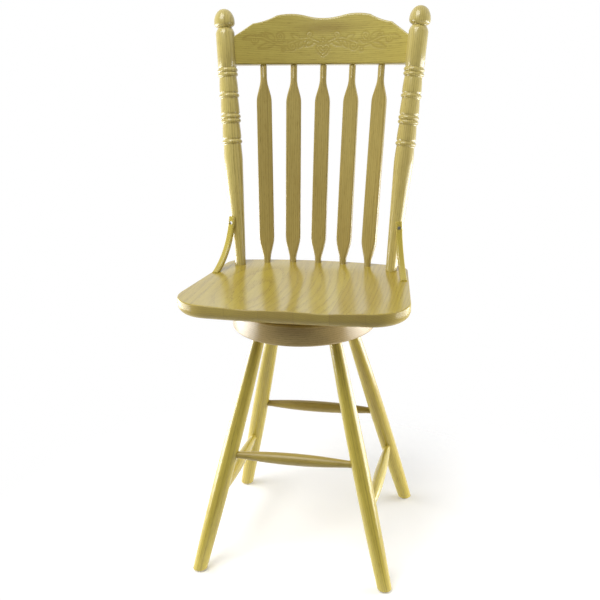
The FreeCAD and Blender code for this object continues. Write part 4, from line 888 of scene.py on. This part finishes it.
def scroll(centre, radius, start_angle, turns):
    """A spiral that winds in from its rim: the radius shrinks evenly as the angle grows."""
    share = np.linspace(0, 1, SCROLL_STEPS)
    angle = np.radians(start_angle) + 2 * np.pi * turns * share
    reach = radius * (1 - SCROLL_SHRINK * share)
    return np.stack([centre[0] + reach * np.cos(angle), centre[1] + reach * np.sin(angle)], axis=1)


def pressed_ornament(x, height):
    """How deep the face is pressed: the ground sinks round the ornament, whose forms stand up from it.

    The ornament is mirrored about the middle: a waving stem with scrolls and leaves either side, and
    a small heart below it. A scroll has a centre, a radius, a start angle and turns, and a leaf has a
    base, a tip and a half width.
    """
    aside = np.abs(x)
    stem_x = np.linspace(STEM_START, STEM_END, STEM_STEPS)
    wave = STEM_WAVE * np.sin(2 * np.pi * (stem_x - STEM_START) / STEM_PERIOD)
    stem = np.stack([stem_x, STEM_HEIGHT + wave], axis=1)
    heart_tip = (0, 20)
    heart_shoulder = (13, 35)
    heart_notch = (0.5, 35)
    heart_side = arc(heart_tip, (8, 27.5), heart_shoulder, 12)
    heart_crown = arc(heart_shoulder, (7, 40), heart_notch, 14)
    strokes = (
        (stem, STEM_WIDTH),
        (scroll((69, 38.5), 9.0, 100, -1.4), 1.35),
        (scroll((97, 59), 8.5, -80, -1.4), 1.35),
        (scroll((150, 50), 7.0, 75, -1.4), 1.3),
        (scroll((30, 63), 6.5, -90, 1.3), 1.2),
        (np.vstack([heart_side, heart_crown[1:]]), HEART_WIDTH),
    )
    leaves = (
        ((109, 52), (128, 66), 4.2),
        ((110, 43), (142, 32), 4.4),
        ((154, 56), (174, 50), 3.6),
        ((80, 49), (92, 38), 3.4),
        ((52, 52), (70, 63), 4.0),
        ((46, 50), (54, 37), 3.4),
        ((22, 50), (40, 41), 3.6),
    )
    beads = ((12.5, 48), (0, 48), (0, 54), (134, 61), (88, 30))
    forms = [stroke(aside, height, line, width) for line, width in strokes]
    forms += [leaf(aside, height, *shape) for shape in leaves]
    for spot in beads:
        short_line = np.array([spot, np.add(spot, (BEAD_RUN, 0))])
        forms.append(stroke(aside, height, short_line, BEAD_SIZE))
    raised = np.max([body for body, gap in forms], axis=0)
    gap = np.min([gap for body, gap in forms], axis=0)
    ground = np.clip((GROUND_REACH - gap) / GROUND_SLOPE, 0, 1)
    ground = ground * ground * (3 - 2 * ground)
    return PRESSED_DEPTH * (ground - RAISED_SHARE * raised)


stations = np.linspace(-CREST_END, CREST_END, CREST_STEPS)
front_y = np.sqrt((BACK_CURVE - CREST_THICKNESS / 2) ** 2 - stations**2) - BACK_CURVE
rear_y = np.sqrt((BACK_CURVE + CREST_THICKNESS / 2) ** 2 - stations**2) - BACK_CURVE
half_depth = (rear_y - front_y) / 2
half_height = (crest_top(stations) - crest_bottom(stations)) / 2
ease = np.full(CREST_STEPS, CREST_EASE)
section = rounded_section(half_depth, half_height, ease, CREST_CORNER_STEPS, CREST_SIDE_STEPS)
along = np.broadcast_to(stations[:, None], section.shape[:2])
above = section[..., 1] + (half_height + crest_bottom(stations))[:, None]
face_start = 2 * CREST_CORNER_STEPS + CREST_SIDE_STEPS[0] - 1
face = slice(face_start, face_start + FACE_ROWS + 2)
pressed = np.zeros(section.shape[:2])
pressed[:, face] = pressed_ornament(along[:, face], above[:, face])
depth = section[..., 0] + ((front_y + rear_y) / 2)[:, None] + pressed
rings = leaned(np.stack([along, depth, above], axis=-1))
grain = np.stack([above, section[..., 0] + pressed, along], axis=-1)
crest = skin("crest_rail_board", rings, grain + board(CREST_BOARD))
crest_oak = varnished_oak("crest_oak", pale=(0.55, 0.465, 0.115, 1), warm=(0.44, 0.35, 0.076, 1))
# Painted shade: a soft dark patch across the middle under the top edge, and darkening of the ground where
# it is pressed in round the ornament.
patch_x = (along - SHADE_PATCH_PLACE[0]) / SHADE_PATCH_REACH[0]
patch_height = (above - SHADE_PATCH_PLACE[1]) / SHADE_PATCH_REACH[1]
shade_patch = np.exp(-(patch_x**2) - patch_height**2)
sunk = GROUND_SHADE * pressed / PRESSED_DEPTH
mark(crest, "painted_shade", np.clip(np.maximum(sunk, shade_patch), 0, 1))
stain_and_shade(crest_oak, "painted_shade", CREST_SHADE_SHARE, OAK_DARK)
fit(crest, crest_oak, "seat_and_back", "crest_rail")

# Crest pins: two steel pins, plated with zinc, driven in from the backs of the posts and sunk in the
# wood. They lock the rail's ends in the posts.
finish_solids(zinc, "crest_pins")

# Back posts: two oak turnings, leaning back and outwards, with a long taper from the seat, rings of
# single and double beads, a narrow neck and an acorn finial. They are glued into the seat.
POST_SEAT = np.array([172.96, 115.0, 610.0])
POST_NECK = np.array([215.96, 215.0, 1127.0])
POST_FOOT_RADIUS = 12.5
POST_RADIUS = 21.0
POST_IN_SEAT = 15.0
POST_STRAIGHT = 12.0
TAPER_BELOW_BEADS = 41.0
BEADS_PER_RING = (1, 2, 1, 2)
BEAD_PITCH = 51.0
BEAD_LENGTH = 9.5
BEAD_RADIUS = 22.5
GROOVE_RADIUS = 19.5
VASE_RADIUS = 19.0
BEAD_BELOW_NECK = 98.3
SHOULDER_LENGTH = 13.0
NECK_RADIUS = 14.5
FINIAL_RADIUS = 23.0
BELLY_HEIGHT = 12.0
FINIAL_HEIGHT = 41.0
CAP_RADIUS = 20.0
CAP_END = np.radians(89)
TAPER_STEPS = 40
CURVE_STEPS = 14
BEAD_STEPS = 13
LIP_STEPS = 4
FINIAL_STEPS = 16
POST_BOARD = 21
neck = np.linalg.norm(POST_NECK - POST_SEAT)
first_ring = neck - BEAD_BELOW_NECK - (len(BEADS_PER_RING) - 1) * BEAD_PITCH


def draw_in(start, end, count):
    """A swelling line between two points: the radius leaves its start slowly, as the square of the way."""
    way = np.linspace(0, 1, count)
    radius = start[0] + (end[0] - start[0]) * way**2
    return np.stack([radius, start[1] + (end[1] - start[1]) * way], axis=1)


def round_about(centre, radius, start, end, count):
    """Points of a circle between two angles: its centre plus the radius times (cos, sin)."""
    angle = np.linspace(start, end, count)
    return np.stack([np.cos(angle), np.sin(angle)], axis=1) * radius + centre


taper_start = (POST_FOOT_RADIUS, POST_STRAIGHT)
last = (POST_RADIUS, first_ring - TAPER_BELOW_BEADS)
post_parts = [
    [(POST_FOOT_RADIUS, -POST_IN_SEAT), (POST_FOOT_RADIUS, 0), taper_start],
    np.linspace(taper_start, last, TAPER_STEPS)[1:],
]
for ring, beads in enumerate(BEADS_PER_RING):
    bottom = first_ring + ring * BEAD_PITCH - beads * BEAD_LENGTH / 2
    waist = VASE_RADIUS if beads == 2 else GROOVE_RADIUS
    post_parts.append(draw_in(last, (waist, bottom), CURVE_STEPS)[1:])
    for bead in range(beads):
        base = bottom + bead * BEAD_LENGTH
        crown = (BEAD_RADIUS, base + BEAD_LENGTH / 2)
        groove = (GROOVE_RADIUS, base + BEAD_LENGTH)
        post_parts.append(arc(post_parts[-1][-1], crown, groove, BEAD_STEPS)[1:])
    last = (POST_RADIUS, bottom + beads * BEAD_LENGTH + BEAD_LENGTH / 3)
    post_parts.append(draw_in(post_parts[-1][-1], last, LIP_STEPS)[1:])
shoulder_start = (POST_RADIUS, neck - SHOULDER_LENGTH)
shoulder_middle = (POST_RADIUS - (POST_RADIUS - NECK_RADIUS) / 3, neck - SHOULDER_LENGTH / 2)
neck_point = (NECK_RADIUS, neck)
diagonal = np.sqrt(0.5)
under_belly = (
    NECK_RADIUS + (FINIAL_RADIUS - NECK_RADIUS) * diagonal,
    neck + BELLY_HEIGHT * (1 - diagonal),
)
belly = (FINIAL_RADIUS, neck + BELLY_HEIGHT)
cap_rise = FINIAL_HEIGHT - CAP_RADIUS - BELLY_HEIGHT
side_bend = (FINIAL_RADIUS**2 + cap_rise**2 - CAP_RADIUS**2) / (2 * (FINIAL_RADIUS - CAP_RADIUS))
meet = np.arcsin(cap_rise / (side_bend - CAP_RADIUS))
side_centre = (FINIAL_RADIUS - side_bend, neck + BELLY_HEIGHT)
cap_centre = (0, neck + FINIAL_HEIGHT - CAP_RADIUS)
post_parts += [
    [shoulder_start],
    arc(shoulder_start, shoulder_middle, neck_point, CURVE_STEPS)[1:],
    arc(neck_point, under_belly, belly, CURVE_STEPS)[1:],
    round_about(side_centre, side_bend, 0, meet, FINIAL_STEPS)[1:],
    round_about(cap_centre, CAP_RADIUS, meet, CAP_END, CURVE_STEPS)[1:],
]
post_profile = np.vstack(post_parts)
post_oak = varnished_oak("post_oak", pale=(0.63, 0.535, 0.175, 1), warm=(0.515, 0.41, 0.13, 1))
for number, (side, mirror) in enumerate((("left", (-1, 1, 1)), ("right", (1, 1, 1)))):
    rings, grain = turned(post_profile, POST_SEAT * mirror, POST_NECK * mirror)
    post = skin(f"{side}_back_post_turning", rings, grain + board(POST_BOARD + number))
    fit(post, post_oak, "seat_and_back", f"{side}_back_post")

# Side braces: two bent oak strips that rise from the seat's sides and lap the posts, each held by a
# sunk screw into the post and another from under the seat.
FIBRES_SLANTING = (-np.pi / 4, 0, 0)
brace_oak = varnished_oak("brace_oak", turn=FIBRES_SLANTING)
finish_solids(brace_oak, "left_side_brace", "right_side_brace")
finish_solids(zinc, "brace_post_screws", "brace_seat_screws")

# Studio: a white floor that fades into a white surround and is clear from below, a dim room behind
# the camera, low soft panels at both sides, a soft lamp above the camera's left, and the camera as in
# the photograph.
FLOOR_REACH = 3.0
FLOOR_FADE = (0.25, 0.8)
FLOOR_WHITE = (0.95, 0.95, 0.95, 1)
floor_mesh = bpy.data.meshes.new("floor")
floor_corners = [(x, y, 0) for x, y in ((-1, -1), (1, -1), (1, 1), (-1, 1))]
floor_mesh.from_pydata((np.array(floor_corners) * FLOOR_REACH).tolist(), [], [(0, 1, 2, 3)])
floor = bpy.data.objects.new("floor", floor_mesh)
bpy.context.scene.collection.objects.link(floor)
paper = bpy.data.materials.new("white_floor")
paper.use_nodes = True
tree = paper.node_tree
tree.nodes.remove(tree.nodes["Principled BSDF"])
spot = node(tree, "TexCoord").outputs["Object"]
away = node(tree, "VectorMath", {0: spot}, operation="LENGTH").outputs["Value"]
lit = node(tree, "BsdfDiffuse", {"Color": FLOOR_WHITE}).outputs[0]
clear = node(tree, "BsdfTransparent").outputs[0]
from_below = node(tree, "NewGeometry").outputs["Backfacing"]
unseen = reckon(tree, "MAXIMUM", ramp(tree, away, *FLOOR_FADE), from_below)
faded = node(tree, "MixShader", {0: unseen, 1: lit, 2: clear}).outputs[0]
tree.links.new(faded, tree.nodes["Material Output"].inputs["Surface"])
floor_mesh.materials.append(paper)

ROOM_LEVEL = 0.15
ROOM_EDGE = (-0.5, 0.15)
FLOOR_GLOW = (-0.8, -0.5)
AMBIENT = 0.5
world = bpy.data.worlds.new("white_surround")
bpy.context.scene.world = world
world.use_nodes = True
tree = world.node_tree
rays = node(tree, "LightPath").outputs
way = node(tree, "SeparateXYZ", {0: node(tree, "TexCoord").outputs["Generated"]}).outputs
behind_stool = ramp(tree, way["Y"], *ROOM_EDGE)
straight_down = ramp(tree, way["Z"], *FLOOR_GLOW, 1.0, 0.0)
white = reckon(tree, "MAXIMUM", reckon(tree, "MAXIMUM", behind_stool, straight_down), rays["Is Camera Ray"])
level = reckon(tree, "MULTIPLY_ADD", white, 1 - ROOM_LEVEL, ROOM_LEVEL)
seen = reckon(tree, "MAXIMUM", rays["Is Camera Ray"], rays["Is Glossy Ray"])
seen = reckon(tree, "MAXIMUM", seen, rays["Is Transmission Ray"])
share = reckon(tree, "MULTIPLY_ADD", seen, 1 - AMBIENT, AMBIENT)
surround = tree.nodes["Background"]
surround.inputs["Color"].default_value = (1, 1, 1, 1)
tree.links.new(reckon(tree, "MULTIPLY", level, share), surround.inputs["Strength"])


def soft_lamp(name, place, aim, width, height, power):
    """A soft panel that faces a point."""
    lamp = bpy.data.lights.new(name, "AREA")
    lamp.shape = "RECTANGLE"
    lamp.size = width
    lamp.size_y = height
    lamp.energy = power
    holder = bpy.data.objects.new(name, lamp)
    holder.visible_camera = False
    bpy.context.scene.collection.objects.link(holder)
    back = np.subtract(place, aim) / np.linalg.norm(np.subtract(place, aim))
    right = np.cross((0, 0, 1), back)
    right = right / np.linalg.norm(right)
    turn = np.eye(4)
    turn[:3, :3] = np.stack([right, np.cross(back, right), back], axis=1)
    turn[:3, 3] = place
    holder.matrix_world = Matrix(turn.tolist())


SIDE_PANEL = {"aim": (0, 0, 0.45), "width": 1.8, "height": 0.62, "power": 34}
soft_lamp("left_panel", place=(-1.5, 0.1, 0.32), **SIDE_PANEL)
soft_lamp("right_panel", place=(1.45, 0.45, 0.32), **SIDE_PANEL)
soft_lamp("key_lamp", place=(-0.8, -1.5, 3.3), aim=(0, 0, 0.6), width=2.0, height=2.0, power=92)

CAMERA_PLACE = np.array([408.8, -1842.4, 1190.0])
YAW, PITCH, ROLL = np.radians([12.78, -18.2, -1.26])
FOCAL_PIXELS = 923.1
IMAGE_PIXELS = 600
SENSOR_WIDTH = 36
forward = np.array([-np.sin(YAW) * np.cos(PITCH), np.cos(YAW) * np.cos(PITCH), np.sin(PITCH)])
level_right = np.array([np.cos(YAW), np.sin(YAW), 0])
level_up = np.cross(level_right, forward)
right = np.cos(ROLL) * level_right + np.sin(ROLL) * level_up
up = np.cos(ROLL) * level_up - np.sin(ROLL) * level_right
pose = np.eye(4)
pose[:3, :3] = np.stack([right, up, -forward], axis=1)
pose[:3, 3] = CAMERA_PLACE * MM
lens = bpy.data.cameras.new("camera")
lens.sensor_width = SENSOR_WIDTH
lens.lens = FOCAL_PIXELS * SENSOR_WIDTH / IMAGE_PIXELS
camera = bpy.data.objects.new("camera", lens)
bpy.context.scene.collection.objects.link(camera)
camera.matrix_world = Matrix(pose.tolist())
bpy.context.scene.camera = camera
bpy.context.scene.view_settings.view_transform = "Standard"
